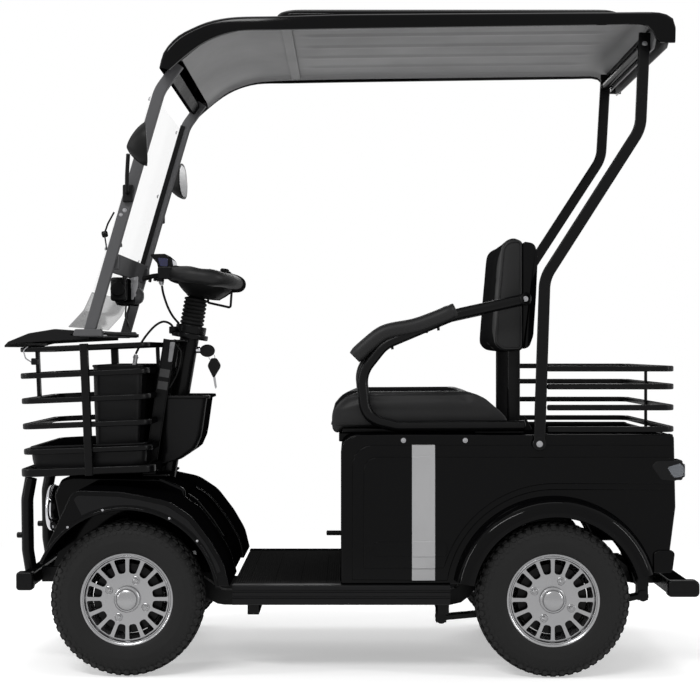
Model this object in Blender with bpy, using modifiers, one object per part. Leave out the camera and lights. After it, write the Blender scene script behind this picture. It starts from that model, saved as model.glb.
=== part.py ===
"""Four-wheeled mobility scooter with a roof, a front basket, a seat with arms and a rear cargo box.

Metres, +Z up. The front faces -X and the rider's left is -Y. The origin is on the ground, at the
middle of the overall length and width.
"""

import math

import bmesh
import bpy
from mathutils import Matrix, Vector

# Gaps between pieces that touch, and between pieces that move
SEAT_GAP = 0.0004
PIN_GAP = 0.0008

# Wheels and steering
TYRE_RADIUS = 0.2015
TYRE_WIDTH = 0.100
RIM_RADIUS = 0.120
RIM_WIDTH = 0.084
HUB_RADIUS = 0.034
SPOKES = 16
FRONT_AXLE_X = -0.581
WHEELBASE = 1.108
FRONT_TRACK_HALF = 0.312
REAR_TRACK_HALF = 0.326
KINGPIN_HALF = 0.245
KINGPIN_RADIUS = 0.009
STEER_ARM = 0.070
TIE_ROD_Z = 0.270
TIE_ROD_RADIUS = 0.007

# Tiller: a point on its axis, and its lean back from the vertical
COLUMN_X = -0.4557
COLUMN_Z = 0.894
COLUMN_LEAN = math.radians(9.6)
COLUMN_RADIUS = 0.027
STEM_RADIUS = 0.015
COLUMN_BORE = STEM_RADIUS + SEAT_GAP + 0.0001
COLUMN_FOOT_Z = 0.330
CONSOLE_Z = 1.040

# Chassis and footboard
RAIL_HALF = 0.112
RAIL_WIDTH = 0.030
RAIL_HEIGHT = 0.040
FLOOR_FRONT_X = -0.3075
FLOOR_REAR_X = 0.262
FLOOR_HALF = 0.345
FLOOR_TOP = 0.236
SILL_HEIGHT = 0.052
MAT_THICK = 0.004

# Front body
HOOD_HALF = 0.149
FENDER_HALF = 0.376
FRONT_ARCH = 0.236
BODY_WALL = 0.004

# Rear body
REAR_FRONT_X = -0.024
REAR_BACK_X = 0.852
REAR_HALF = 0.333
REAR_TOP = 0.629
REAR_BOTTOM = FLOOR_TOP + 0.002 + SEAT_GAP
REAR_ARCH = 0.215
REAR_ARCH_SHIFT = 0.008
FLARE_RADIUS = 0.272
FLARE_HALF = 0.385
CARGO_FRONT_X = 0.515
CARGO_BACK_X = 0.836
CARGO_HALF = 0.300
CARGO_FLOOR = 0.448

# Front basket, drawn level and then pitched with its rear end down
BASKET_PITCH = math.radians(2.5)
BASKET_PIVOT = (-0.710, 0.0, 0.700)
BASKET_FRONT_X = -0.877
BASKET_REAR_X = -0.540
BASKET_FRONT_HALF = 0.222
BASKET_REAR_HALF = 0.262
BASKET_HOOPS = (0.583, 0.6515, 0.720, 0.788)
BASKET_FLOOR_Z = 0.5225
BASKET_TOP_Z = 0.859
BAR_HIGH = 0.0125
BAR_WIDE = 0.020
POST_X = -0.705
POST_HALF = 0.247

# Roof, its posts and the windscreen
ROOF_HALF = 0.375
ROOF_THICK = 0.004
ROOF_POST_WIDE = 0.030
ROOF_POST_THICK = 0.013
POST_STAND = 0.0085
ROOF_POST_FOOT_HALF = REAR_HALF + POST_STAND
ROOF_POST_TOP_HALF = 0.286
SCREEN_POST_HALF = 0.300
SCREEN_POST_WIDE = 0.033
SCREEN_POST_THICK = 0.020

# Seat
SEAT_FRONT_X = -0.051
SEAT_REAR_X = 0.430
SEAT_HALF = 0.250
SEAT_TOP = 0.742
ARM_TUBE = 0.0135
ARM_PAD_RADIUS = 0.0215
ARM_HALF = SEAT_HALF + ARM_TUBE + ARM_PAD_RADIUS
ARM_BOLT_RADIUS = 0.010
BACK_HALF = 0.230
BACK_LINE = (
    (0.390, 0.862, 0.030), (0.398, 1.010, 0.200), (0.406, 1.152, 0.030), (0.450, 1.157, 0.030),
    (0.504, 1.125, 0.030),
    (0.500, 1.000, 0.200), (0.490, 0.856, 0.030),
)
UPRIGHT_X = 0.4485
UPRIGHT_WIDE = 0.035
UPRIGHT_THICK = 0.033
UPRIGHT_TOP = 0.940
UPRIGHT_CLEAR = 0.0025
PAN_INSET = 0.015
WING_THICK = 0.008

# Rear rack: height of each hoop's middle
RACK_HOOPS = (0.6432, 0.700, 0.755, 0.802)
RACK_HALF = 0.324
RACK_BACK_X = 0.849

REAR_AXLE_X = FRONT_AXLE_X + WHEELBASE
AXLE_Z = TYRE_RADIUS
SIDES = (("left", -1), ("right", 1))


STRAIGHT = math.radians(89)
WHEEL_ENDS = (("front", FRONT_AXLE_X, FRONT_TRACK_HALF), ("rear", REAR_AXLE_X, REAR_TRACK_HALF))

# Boot and steering head
BELLOWS_LOW = 0.912
BELLOWS_TOP = 1.000
HEAD_PITCH = math.radians(8)
HEAD_CENTRE = (-0.4085, 0.0, 1.052)
HEAD_LENGTH = 0.222
HEAD_HALF = 0.205
GRIP_RADIUS = 0.0225
LEVER_Y = -0.130

# Rails and leaf springs
RAIL_FRONT_Z = 0.232
RAIL_FLOOR_Z = 0.168
RAIL_REAR_Z = 0.290
RAIL_END_Z = 0.228
RAIL_LINE = (
    (-0.850, RAIL_FRONT_Z), (-0.450, RAIL_FRONT_Z), (-0.360, RAIL_FLOOR_Z), (0.300, RAIL_FLOOR_Z),
    (0.400, RAIL_REAR_Z), (0.690, RAIL_REAR_Z), (0.765, RAIL_END_Z), (0.838, RAIL_END_Z),
)
SPRING_HALF = 0.200
SPRING_MIDDLE = 0.150
SPRING_FRONT = (0.246, 0.128, RAIL_FLOOR_Z - 0.014 - SEAT_GAP)
SPRING_REAR = (0.790, 0.188, RAIL_END_Z - 0.014 - SEAT_GAP)
SPRING_LINE = (SPRING_FRONT[:2], (0.400, 0.142), (0.527, SPRING_MIDDLE), (0.660, 0.158), SPRING_REAR[:2])

# Front body outlines and headlamp
CREST = (
    (-0.800, 0.302), (-0.791, 0.329), (-0.717, 0.488), (-0.600, 0.4845), (-0.544, 0.476), (-0.469, 0.460),
    (-0.410, 0.421), (-0.361, 0.357), (-0.326, 0.297), (-0.3120, 0.244), (-0.3120, 0.240), (-0.420, 0.240),
)
LEG_PANEL = 0.012
HOOD = (
    (-0.745, 0.352), (-0.792, 0.352), (-0.812, 0.455), (-0.792, 0.497), (-0.760, 0.5045), (-0.520, 0.500),
    (-0.452, 0.470), (-0.452, 0.440), (-0.690, 0.440),
)
LAMP_X = -0.869
LAMP_Z = 0.402
LAMP_RADIUS = 0.066

# Basket details, cowl and tray
BASKET_CORNER = 0.035
PLATE_HALF = 0.115
PLATE_THICK = 0.006
SCREEN_BASE_LOW = 0.8865
COWL_SEAT = 0.9035
COWL = (
    (-0.9250, 0.8630), (-0.9215, 0.8690), (-0.800, 0.9005), (-0.718, 0.9075), (-0.700, 0.9075),
    (-0.700, COWL_SEAT),
    (-0.718, COWL_SEAT), (-0.800, 0.8960), (-0.9195, 0.8640),
)
TRAY_BOTTOM = BASKET_FLOOR_Z + 0.0095
BIN_TOP = BASKET_HOOPS[3] + 0.010
BIN_FRONT_X = -0.690
BIN_REAR_X = -0.563
BIN_HALF = 0.215

# Bin on the column
COLUMN_BIN = (
    (-0.520, 0.7400), (-0.3950, 0.7350), (-0.3990, 0.715), (-0.4130, 0.612), (-0.4290, 0.575),
    (-0.4740, 0.545),
    (-0.5200, 0.535), (-0.5300, 0.545),
)

# Windscreen
SCREEN_LINE = ((-0.6880, 0.896), (-0.5875, 1.244), (-0.502, 1.535), (-0.452, 1.604))

# Roof outlines
ROOF_TOP = (
    (-0.4949, 1.5824), (-0.4833, 1.6237), (-0.4497, 1.6625), (-0.4083, 1.6858), (-0.3618, 1.7039),
    (-0.2998, 1.7142),
    (-0.1835, 1.7168), (0.0, 1.7219), (0.7133, 1.7274), (0.8012, 1.7266), (0.8348, 1.7142),
    (0.8425, 1.6920),
)
ROOF_EDGE = (
    (0.8415, 1.6470), (0.7960, 1.6486), (0.7908, 1.6612), (0.7779, 1.6858), (0.7546, 1.6945), (0.0, 1.6834),
    (-0.2817, 1.6780), (-0.3386, 1.6650), (-0.3851, 1.6430), (-0.4264, 1.6130), (-0.4690, 1.5760),
)
CROWN_HALF = 0.300
CROWN_FRONT_X = -0.195
CROWN_REAR_X = 0.722
CROWN_RISE = 0.0276
CROWN_TOP = max(z for _, z in ROOF_TOP) + CROWN_RISE
CROWN_ROOT = CROWN_TOP - 0.055
LINER_THICK = 0.004
VALANCE_X = 0.7994
RIB_LINE = ((-0.140, 1.7035), (0.700, 1.7125))
RIBS = (-0.210, -0.070, 0.070, 0.210)

# Rear roof posts
REAR_POST = ((0.494, 0.611), (0.512, 1.040), (0.767, 1.436), (0.780, 1.690))

# Tail lamps
LAMP_LOW = 0.508
LAMP_HIGH = 0.563
LAMP_INNER = 0.262
LAMP_FRONT_X = 0.788

# Seat frame
UPRIGHT_HALF = 0.150
SEAT_PAN_Z = 0.6335
ARM_LINE = (
    (0.4600, 0.6500), (0.1250, 0.6480, 0.050), (0.0420, 0.6700, 0.060), (0.0300, 0.7900, 0.080),
    (0.0900, 0.8660, 0.090),
    (0.2750, 0.9440, 0.300), (0.4660, 0.9860),
)
PAD_LINE = ((0.0060, 0.8300), (0.0620, 0.8800, 0.080), (0.1200, 0.8950, 0.100), (0.2750, 0.9490))


# Set-up

for old in list(bpy.data.objects):
    bpy.data.objects.remove(old, do_unlink=True)

model = bpy.data.collections.new("mobility_scooter")
bpy.context.scene.collection.children.link(model)


def material(name, colour, roughness, metallic=0.0, alpha=1.0):
    made = bpy.data.materials.new(name)
    made.use_nodes = True
    shader = made.node_tree.nodes["Principled BSDF"]
    shader.inputs["Base Color"].default_value = (*colour, 1.0)
    shader.inputs["Roughness"].default_value = roughness
    shader.inputs["Metallic"].default_value = metallic
    shader.inputs["Alpha"].default_value = alpha
    return made


GLOSS_BLACK = material("gloss_black_plastic", (0.012, 0.012, 0.013), 0.12)
MATT_BLACK = material("matt_black_plastic", (0.022, 0.022, 0.023), 0.55)
BLACK_STEEL = material("black_painted_steel", (0.015, 0.015, 0.016), 0.30, 0.2)
GREY_PLASTIC = material("grey_plastic", (0.095, 0.095, 0.100), 0.50)
RUBBER = material("black_rubber", (0.020, 0.020, 0.020), 0.85)
TYRE_RUBBER = material("tyre_rubber", (0.018, 0.018, 0.018), 0.80)
ALLOY = material("bright_alloy", (0.62, 0.62, 0.63), 0.28, 1.0)
LEATHER = material("black_vinyl", (0.020, 0.020, 0.021), 0.45)
CLEAR = material("clear_sheet", (0.80, 0.82, 0.84), 0.05, 0.0, 0.15)
LAMP = material("lamp_lens", (0.75, 0.78, 0.82), 0.08, 0.0, 0.6)


# Modelling tools

def add_object(name, data, finish):
    made = bpy.data.objects.new(name, data)
    model.objects.link(made)
    if finish is not None:
        data.materials.append(finish)
    return made


def mesh_from(bm, name, finish):
    bmesh.ops.remove_doubles(bm, verts=bm.verts, dist=0.00002)
    bmesh.ops.recalc_face_normals(bm, faces=bm.faces)
    data = bpy.data.meshes.new(name)
    bm.to_mesh(data)
    bm.free()
    return add_object(name, data, finish)


def as_mesh(piece):
    """The piece as its viewport evaluates it, in world space, as a plain mesh object."""
    bpy.context.view_layer.update()
    graph = bpy.context.evaluated_depsgraph_get()
    data = bpy.data.meshes.new_from_object(piece.evaluated_get(graph))
    data.transform(piece.matrix_world)
    name = piece.name
    finish = piece.data.materials[0] if piece.data.materials else None
    bpy.data.objects.remove(piece, do_unlink=True)
    bm = bmesh.new()
    bm.from_mesh(data)
    bpy.data.meshes.remove(data)
    return mesh_from(bm, name, finish)


def combine(piece, tool, operation):
    """One Boolean on the piece, which uses the tool up."""
    modifier = piece.modifiers.new(operation.lower(), "BOOLEAN")
    modifier.operation = operation
    modifier.object = tool
    made = as_mesh(piece)
    bpy.data.objects.remove(tool, do_unlink=True)
    return made


def cut(piece, *tools):
    for tool in tools:
        piece = combine(piece, tool, "DIFFERENCE")
    return piece


def join(name, *pieces):
    whole = pieces[0]
    for piece in pieces[1:]:
        whole = combine(whole, piece, "UNION")
    whole.name = name
    return whole


def block(name, low, high, finish=None, bevel=0.0, segments=2):
    bm = bmesh.new()
    bmesh.ops.create_cube(bm, size=1.0)
    for vertex in bm.verts:
        vertex.co = Vector(
            high[i] if vertex.co[i] > 0 else low[i] for i in range(3)
        )
    if bevel:
        bmesh.ops.bevel(
            bm, geom=bm.edges[:], offset=bevel, segments=segments, affect="EDGES", profile=0.5
        )
    return mesh_from(bm, name, finish)


def rod(name, start, end, radius, finish=None, sides=16, end_radius=None):
    """A round bar, or a cone, from one point to another."""
    start, end = Vector(start), Vector(end)
    bm = bmesh.new()
    bmesh.ops.create_cone(
        bm,
        cap_ends=True,
        segments=sides,
        radius1=radius,
        radius2=radius if end_radius is None else end_radius,
        depth=(end - start).length,
    )
    turn = Vector((0, 0, 1)).rotation_difference(end - start)
    place = Matrix.Translation((start + end) / 2) @ turn.to_matrix().to_4x4()
    bmesh.ops.transform(bm, matrix=place, verts=bm.verts)
    return mesh_from(bm, name, finish)


def ball(name, centre, radii, finish=None, rings=8, sides=16):
    bm = bmesh.new()
    bmesh.ops.create_uvsphere(bm, u_segments=sides, v_segments=rings, radius=1.0)
    place = Matrix.Translation(centre) @ Matrix.Diagonal((*radii, 1.0))
    bmesh.ops.transform(bm, matrix=place, verts=bm.verts)
    return mesh_from(bm, name, finish)


def fillet(corners, closed=True, segments=4):
    """Points of an outline or a path, with an arc at each corner (x, y, radius) that has a radius."""
    points = []
    count = len(corners)
    for i, corner in enumerate(corners):
        here = Vector(corner[:2])
        radius = corner[2] if len(corner) > 2 else 0.0
        if radius == 0.0 or (not closed and i in (0, count - 1)):
            points.append(tuple(here))
            continue
        before = (Vector(corners[i - 1][:2]) - here).normalized()
        after = (Vector(corners[(i + 1) % count][:2]) - here).normalized()
        half = before.angle(after) / 2
        if half > STRAIGHT:
            points.append(tuple(here))
            continue
        reach = radius / math.tan(half)
        centre = here + (before + after).normalized() * (radius / math.sin(half))
        first, last = here + before * reach - centre, here + after * reach - centre
        turn = first.angle_signed(last)
        for step in range(segments + 1):
            angle = -turn * step / segments
            spun = Matrix.Rotation(angle, 2) @ first
            points.append(tuple(centre + spun))
    return points


def ribbon(path, width, segments=4):
    """The closed outline of a path with a width, its corners rounded as fillet() does."""
    line = [Vector(p) for p in fillet(path, closed=False, segments=segments)]
    left, right = [], []
    for i, here in enumerate(line):
        before = (here - line[i - 1]).normalized() if i else None
        after = (line[i + 1] - here).normalized() if i < len(line) - 1 else None
        along = ((before or after) + (after or before)).normalized()
        across = Vector((-along.y, along.x))
        stretch = 1.0 / max(0.5, along.dot(after or before))
        left.append(tuple(here + across * (width / 2 * stretch)))
        right.append(tuple(here - across * (width / 2 * stretch)))
    return left + right[::-1]


def plate(name, outline, low, high, axis, finish=None, holes=()):
    """A flat outline given thickness along an axis: for Y it lies in X and Z, for Z in X and Y, for X in Y and Z."""
    curve = bpy.data.curves.new(name, "CURVE")
    curve.dimensions = "2D"
    curve.fill_mode = "BOTH"
    curve.extrude = (high - low) / 2
    for points in (outline, *holes):
        spline = curve.splines.new("POLY")
        spline.points.add(len(points) - 1)
        for point, (x, y) in zip(spline.points, points):
            point.co = (x, y, 0.0, 1.0)
        spline.use_cyclic_u = True
    made = add_object(name, curve, finish)
    middle = (low + high) / 2
    if axis == "Y":
        made.rotation_euler = (math.radians(90), 0, 0)
        made.location = (0, middle, 0)
    elif axis == "Z":
        made.location = (0, 0, middle)
    else:
        made.rotation_euler = (math.radians(90), 0, math.radians(90))
        made.location = (middle, 0, 0)
    return as_mesh(made)


def pipe(name, path, radius, finish=None, resolution=2):
    """A round tube along points in space, with filled caps."""
    curve = bpy.data.curves.new(name, "CURVE")
    curve.dimensions = "3D"
    curve.bevel_depth = radius
    curve.bevel_resolution = resolution
    curve.use_fill_caps = True
    spline = curve.splines.new("POLY")
    spline.points.add(len(path) - 1)
    for point, place in zip(spline.points, path):
        point.co = (*place, 1.0)
    return as_mesh(add_object(name, curve, finish))


def side_path(corners, y, segments=4):
    """A path drawn in X and Z, at one Y."""
    return [(x, y, z) for x, z in fillet(corners, closed=False, segments=segments)]


def lathe(name, profile, centre, finish=None, steps=40, axis="Y"):
    """A ring or a disc: a closed profile of (radius, distance along the axis), turned about the axis."""
    data = bpy.data.meshes.new(name)
    places = [(r, 0.0, along) for r, along in profile]
    edges = [(i, (i + 1) % len(places)) for i in range(len(places))]
    data.from_pydata(places, edges, [])
    made = add_object(name, data, finish)
    screw = made.modifiers.new("turn", "SCREW")
    screw.steps = screw.render_steps = steps
    screw.use_merge_vertices = True
    screw.merge_threshold = 0.00005
    if axis == "Y":
        made.rotation_euler = (math.radians(-90), 0, 0)
    elif axis == "X":
        made.rotation_euler = (0, math.radians(90), 0)
    made.location = centre
    return as_mesh(made)


def loft(name, sections, finish=None):
    """A closed skin through rings of points, with flat ends."""
    bm = bmesh.new()
    rings = [[bm.verts.new(point) for point in section] for section in sections]
    count = len(rings[0])
    for near, far in zip(rings, rings[1:]):
        for i in range(count):
            j = (i + 1) % count
            bm.faces.new((near[i], near[j], far[j], far[i]))
    bm.faces.new(rings[0][::-1])
    bm.faces.new(rings[-1])
    return mesh_from(bm, name, finish)


def smooth(piece, angle=40):
    piece.data.shade_smooth()
    piece.data.set_sharp_from_angle(angle=math.radians(angle))
    return piece


def turned(piece, matrix):
    """The piece moved by a matrix, which stays on the object as its place."""
    piece.matrix_world = matrix @ piece.matrix_world
    return piece


def about(point, axis, angle):
    centre = Matrix.Translation(point)
    return centre @ Matrix.Rotation(angle, 4, axis) @ centre.inverted()


def hang(name, place, *names):
    """An empty on a joint's axis that carries the pieces which turn about it."""
    axis = bpy.data.objects.new(name, None)
    axis.empty_display_size = TYRE_RADIUS / 2
    axis.location = place
    model.objects.link(axis)
    bpy.context.view_layer.update()
    for piece_name in names:
        piece = bpy.data.objects[piece_name]
        piece.parent = axis
        piece.matrix_parent_inverse = axis.matrix_world.inverted()


# Places along the tiller's axis

COLUMN_UP = Vector((math.sin(COLUMN_LEAN), 0.0, math.cos(COLUMN_LEAN)))
TILT = about((COLUMN_X, 0.0, COLUMN_Z), "Y", COLUMN_LEAN)


def on_column(z):
    """The point of the tiller's axis at a height."""
    along = (z - COLUMN_Z) / COLUMN_UP.z
    return Vector((COLUMN_X, 0.0, COLUMN_Z)) + COLUMN_UP * along


# Wheels

def tyre(name, x, y):
    half = TYRE_WIDTH / 2
    bead = RIM_RADIUS - 0.006
    side_wall = (
        (bead, 0.72), (bead + 0.014, 0.88), (TYRE_RADIUS - 0.046, 1.0), (TYRE_RADIUS - 0.020, 0.97),
        (TYRE_RADIUS, 0.58),
    )
    profile = [(r, -half * share) for r, share in side_wall] + [(r, half * share) for r,
        share in side_wall[::-1]]
    return smooth(lathe(name, profile, (x, y, AXLE_Z), TYRE_RUBBER, steps=32))


def rim(name, x, y, side):
    """A disc wheel with a ring of windows between narrow spokes, dished towards the outside."""
    half = RIM_WIDTH / 2
    seat = RIM_RADIUS - 0.006 - SEAT_GAP
    well = RIM_RADIUS - 0.024
    out = float(side)
    barrel = [
        (seat, -half * 0.90), (RIM_RADIUS - 0.012, -half), (well - 0.004, -half * 0.80),
        (well - 0.004, half * 0.70), (RIM_RADIUS - 0.016, half), (RIM_RADIUS - 0.0065, half),
        (seat, half * 0.85), (well, half * 0.55), (well, -half * 0.55),
    ]
    face = half * 0.62
    disc = [
        (0.0, face - 0.010), (0.066, face - 0.010), (0.070, face - 0.004),
        (0.066, face + 0.002), (HUB_RADIUS, face + 0.002), (HUB_RADIUS - 0.004, face + 0.016),
        (0.020, face + 0.020), (0.0, face + 0.020),
    ]
    hub = [
        (0.014 + PIN_GAP, -half * 0.55), (0.030, -half * 0.55), (0.030, face - 0.009),
        (0.014 + PIN_GAP, face - 0.009),
    ]
    centre = (x, y, AXLE_Z)
    pieces = [
        lathe(name, [(r, out * a) for r, a in barrel], centre, ALLOY, steps=32),
        lathe(name + "_disc", [(r, out * a) for r, a in disc], centre, ALLOY, steps=24),
        lathe(name + "_hub", [(r, out * a) for r, a in hub], centre, ALLOY, steps=14),
    ]
    for i in range(SPOKES):
        lift = (y + out * (face - 0.009), y + out * (face + 0.001))
        spoke = block(
            f"{name}_spoke{i}", (x - 0.0032, min(lift), AXLE_Z + 0.062),
            (x + 0.0032, max(lift), AXLE_Z + well - 0.001),
        )
        turned(spoke, about(centre, "Y", 2 * math.pi * i / SPOKES))
        pieces.append(as_mesh(spoke))
    return smooth(join(name, *pieces), 30)


def wheels():
    for end, x, track in WHEEL_ENDS:
        for side_name, side in SIDES:
            tyre(f"{end}_tyre_{side_name}", x, side * track)
            rim(f"{end}_rim_{side_name}", x, side * track, side)


# Steering

def knuckle(side_name, side):
    """Two discs on a kingpin, joined outboard, with the stub axle and the steering arm."""
    x, y = FRONT_AXLE_X, side * KINGPIN_HALF
    name = f"knuckle_{side_name}"
    outer = y + side * 0.026
    plates = sorted((y + side * 0.020, outer))
    pieces = [
        block(name, (x - 0.015, plates[0], AXLE_Z - 0.036), (x + 0.015, plates[1], AXLE_Z + 0.036),
            BLACK_STEEL),
        rod(name + "_pin", (x, y, AXLE_Z - 0.033), (x, y, AXLE_Z + 0.033), KINGPIN_RADIUS, sides=14),
    ]
    for z in (AXLE_Z - 0.032, AXLE_Z + 0.032):
        ear = sorted((y - side * 0.012, outer - side * 0.001))
        pieces.append(block(f"{name}_ear{z:.2f}", (x - 0.0145, ear[0], z - 0.004),
            (x + 0.0145, ear[1], z + 0.004)))
    stub_end = side * (FRONT_TRACK_HALF + 0.014)
    pieces.append(rod(name + "_stub", (x, outer - side * 0.002, AXLE_Z), (x, stub_end, AXLE_Z), 0.014,
        sides=16))
    reach = TIE_ROD_Z - 0.010
    pieces.append(
        plate(
            name + "_riser", fillet(((x - 0.012, AXLE_Z + 0.033), (x + 0.012, AXLE_Z + 0.033),
            (x + 0.012, reach - 0.006), (x + STEER_ARM + 0.010, reach - 0.006),
            (x + STEER_ARM + 0.010, reach), (x - 0.012, reach))), y - 0.009, y + 0.009, "Y",
        )
    )
    tip = (x + STEER_ARM, y)
    pieces.append(rod(name + "_tip", (*tip, reach - 0.001), (*tip, TIE_ROD_Z + 0.009), 0.005, sides=12))
    smooth(join(name, *pieces), 30)


def tie_rod():
    """A rod with an eye at each knuckle arm and a wider eye round the tiller's own arm."""
    centre = on_column(TIE_ROD_Z)
    bend = centre.x + STEER_ARM * math.cos(COLUMN_LEAN)
    ends_x = FRONT_AXLE_X + STEER_ARM
    half = KINGPIN_HALF
    eye, bore = 0.011, 0.005 + PIN_GAP * 0.75
    wide_eye, wide_bore = 0.015, 0.010
    low, high = TIE_ROD_Z - 0.006, TIE_ROD_Z + 0.006
    path = [(ends_x, -half + 0.009), (bend, -0.013)]
    other = [(bend, 0.013), (ends_x, half - 0.009)]
    pieces = [lathe("tie_rod", ((wide_bore, -0.006), (wide_eye, -0.006), (wide_eye, 0.006),
        (wide_bore, 0.006)),
                    (bend, 0, TIE_ROD_Z), BLACK_STEEL, steps=14, axis="Z")]
    for i, run in enumerate((path, other)):
        pieces.append(rod(f"tie_run{i}", (*run[0], TIE_ROD_Z), (*run[1], TIE_ROD_Z), TIE_ROD_RADIUS - 0.002,
            sides=10))
    for side in (-1, 1):
        pieces.append(
            lathe(f"tie_eye{side}", ((bore, low - TIE_ROD_Z), (eye, low - TIE_ROD_Z),
                (eye, high - TIE_ROD_Z),
                  (bore, high - TIE_ROD_Z)), (ends_x, side * half, TIE_ROD_Z), steps=12, axis="Z")
        )
    smooth(join("tie_rod", *pieces), 30)


def tiller():
    """The stem that turns in the column, with its arm below, and the head with its grips on top."""
    foot = on_column(TIE_ROD_Z + 0.016)
    top = on_column(CONSOLE_Z - 0.020)
    arm_tip = on_column(TIE_ROD_Z) + Vector((math.cos(COLUMN_LEAN), 0, -math.sin(COLUMN_LEAN))) * STEER_ARM
    arm_low, arm_high = TIE_ROD_Z + 0.012, TIE_ROD_Z + 0.020
    stem = join(
        "steering_stem",
        rod("steering_stem", foot, top, STEM_RADIUS, BLACK_STEEL),
        block("arm", (foot.x - 0.014, -0.012, arm_low), (arm_tip.x + 0.010, 0.012, arm_high)),
        rod("arm_pin", (arm_tip.x, 0, TIE_ROD_Z - 0.010), (arm_tip.x, 0, arm_high - 0.001), 0.006,
        sides=12),
    )
    smooth(stem, 30)
    bellows()
    console()
    display()
    levers()


def bellows():
    """The ribbed rubber boot between the column and the head."""
    inner = STEM_RADIUS + PIN_GAP
    length = (BELLOWS_TOP - BELLOWS_LOW) / COLUMN_UP.z
    ribs = 5
    outline = [(inner, 0.0), (0.034, 0.0)]
    for i in range(ribs):
        start = length * (i + 0.15) / ribs
        outline += [(0.034, start), (0.0285, start + length * 0.28 / ribs),
            (0.034, start + length * 0.60 / ribs)]
    outline += [(0.034, length), (inner, length)]
    boot = lathe("bellows", outline, (0, 0, 0), RUBBER, steps=14, axis="Z")
    base = on_column(BELLOWS_LOW)
    boot.matrix_world = Matrix.Translation(base) @ Matrix.Rotation(COLUMN_LEAN, 4, "Y")
    boot = as_mesh(boot)
    smooth(boot, 50)


def oval(length, half, centre, count=24, power=2.6):
    """Points of a rounded oval in X and Y: a superellipse."""
    points = []
    for i in range(count):
        angle = 2 * math.pi * i / count
        c, s = math.cos(angle), math.sin(angle)
        points.append(
            (
                centre[0] + length / 2 * math.copysign(abs(c) ** (2 / power), c),
                centre[1] + half * math.copysign(abs(s) ** (2 / power), s),
            )
        )
    return points


def grip_loop(name, radius, finish=None, sides=8):
    """The closed loop handlebar, drawn level: a round section swept round an oval."""
    x, _, z = HEAD_CENTRE
    loop_line = oval(HEAD_LENGTH - 2 * GRIP_RADIUS, HEAD_HALF - GRIP_RADIUS, (x, 0.0))
    bm = bmesh.new()
    rings = []
    for i, (px, py) in enumerate(loop_line):
        ahead = Vector(loop_line[(i + 1) % len(loop_line)]) - Vector(loop_line[i - 1])
        out = Vector((ahead.y, -ahead.x)).normalized()
        ring = []
        for k in range(sides):
            angle = 2 * math.pi * k / sides
            reach, rise = radius * math.cos(angle), radius * math.sin(angle)
            ring.append(bm.verts.new((px + out.x * reach, py + out.y * reach, z + rise)))
        rings.append(ring)
    for i, ring in enumerate(rings):
        after = rings[(i + 1) % len(rings)]
        for k in range(sides):
            m = (k + 1) % sides
            bm.faces.new((ring[k], ring[m], after[m], after[k]))
    return mesh_from(bm, name, finish)


def console():
    """A closed loop handlebar round a shallow pod, on one block that takes the stem."""
    x, _, z = HEAD_CENTRE
    loop = grip_loop("console", GRIP_RADIUS, MATT_BLACK)
    pod_sections = []
    for scale, rise in ((0.42, -0.052), (0.66, -0.036), (0.80, -0.006), (0.78, 0.014), (0.66, 0.022)):
        ring = oval((HEAD_LENGTH - 0.02) * scale * 1.10, (HEAD_HALF - 0.02) * scale * 0.62,
            (x - 0.004, 0.0), 20)
        pod_sections.append([(px, py, z + rise) for px, py in ring])
    pod = loft("pod", pod_sections)
    yokes = [
        block("yoke", (x - 0.030, -HEAD_HALF + GRIP_RADIUS, z - 0.012),
            (x + 0.030, HEAD_HALF - GRIP_RADIUS, z + 0.008)),
        block("yoke_long", (x - HEAD_LENGTH / 2 + GRIP_RADIUS, -0.035, z - 0.012),
              (x + HEAD_LENGTH / 2 - GRIP_RADIUS, 0.035, z + 0.008)),
    ]
    socket_top = on_column(CONSOLE_Z)
    head = join("console", loop, pod, *yokes)
    turned(head, about(HEAD_CENTRE, "Y", HEAD_PITCH))
    head = as_mesh(head)
    socket = rod("socket", on_column(BELLOWS_TOP + 0.0006), socket_top, 0.033, sides=20)
    head = join("console", head, socket)
    bore = rod("bore", on_column(BELLOWS_TOP - 0.02), on_column(CONSOLE_Z - 0.019), STEM_RADIUS + SEAT_GAP)
    head = cut(head, bore)
    smooth(head)


def display():
    """The dash display under a small hood, ahead of the loop, on a neck that lies on it."""
    outline = fillet(((-0.556, 1.074, 0.004), (-0.561, 1.118, 0.004), (-0.520, 1.1215, 0.006),
        (-0.512, 1.0995, 0.004),
                      (-0.5265, 1.0885, 0.0), (-0.5265, 1.074, 0.004)))
    piece = plate("display", outline, -0.060, 0.060, "Y", MATT_BLACK)
    neck_low = HEAD_CENTRE[2] + (HEAD_LENGTH / 2 - GRIP_RADIUS) * math.sin(HEAD_PITCH) + GRIP_RADIUS + SEAT_GAP
    neck = block("display_neck", (-0.530, -0.022, neck_low), (-0.488, 0.022, neck_low + 0.013))
    smooth(join("display", piece, neck), 30)


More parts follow.
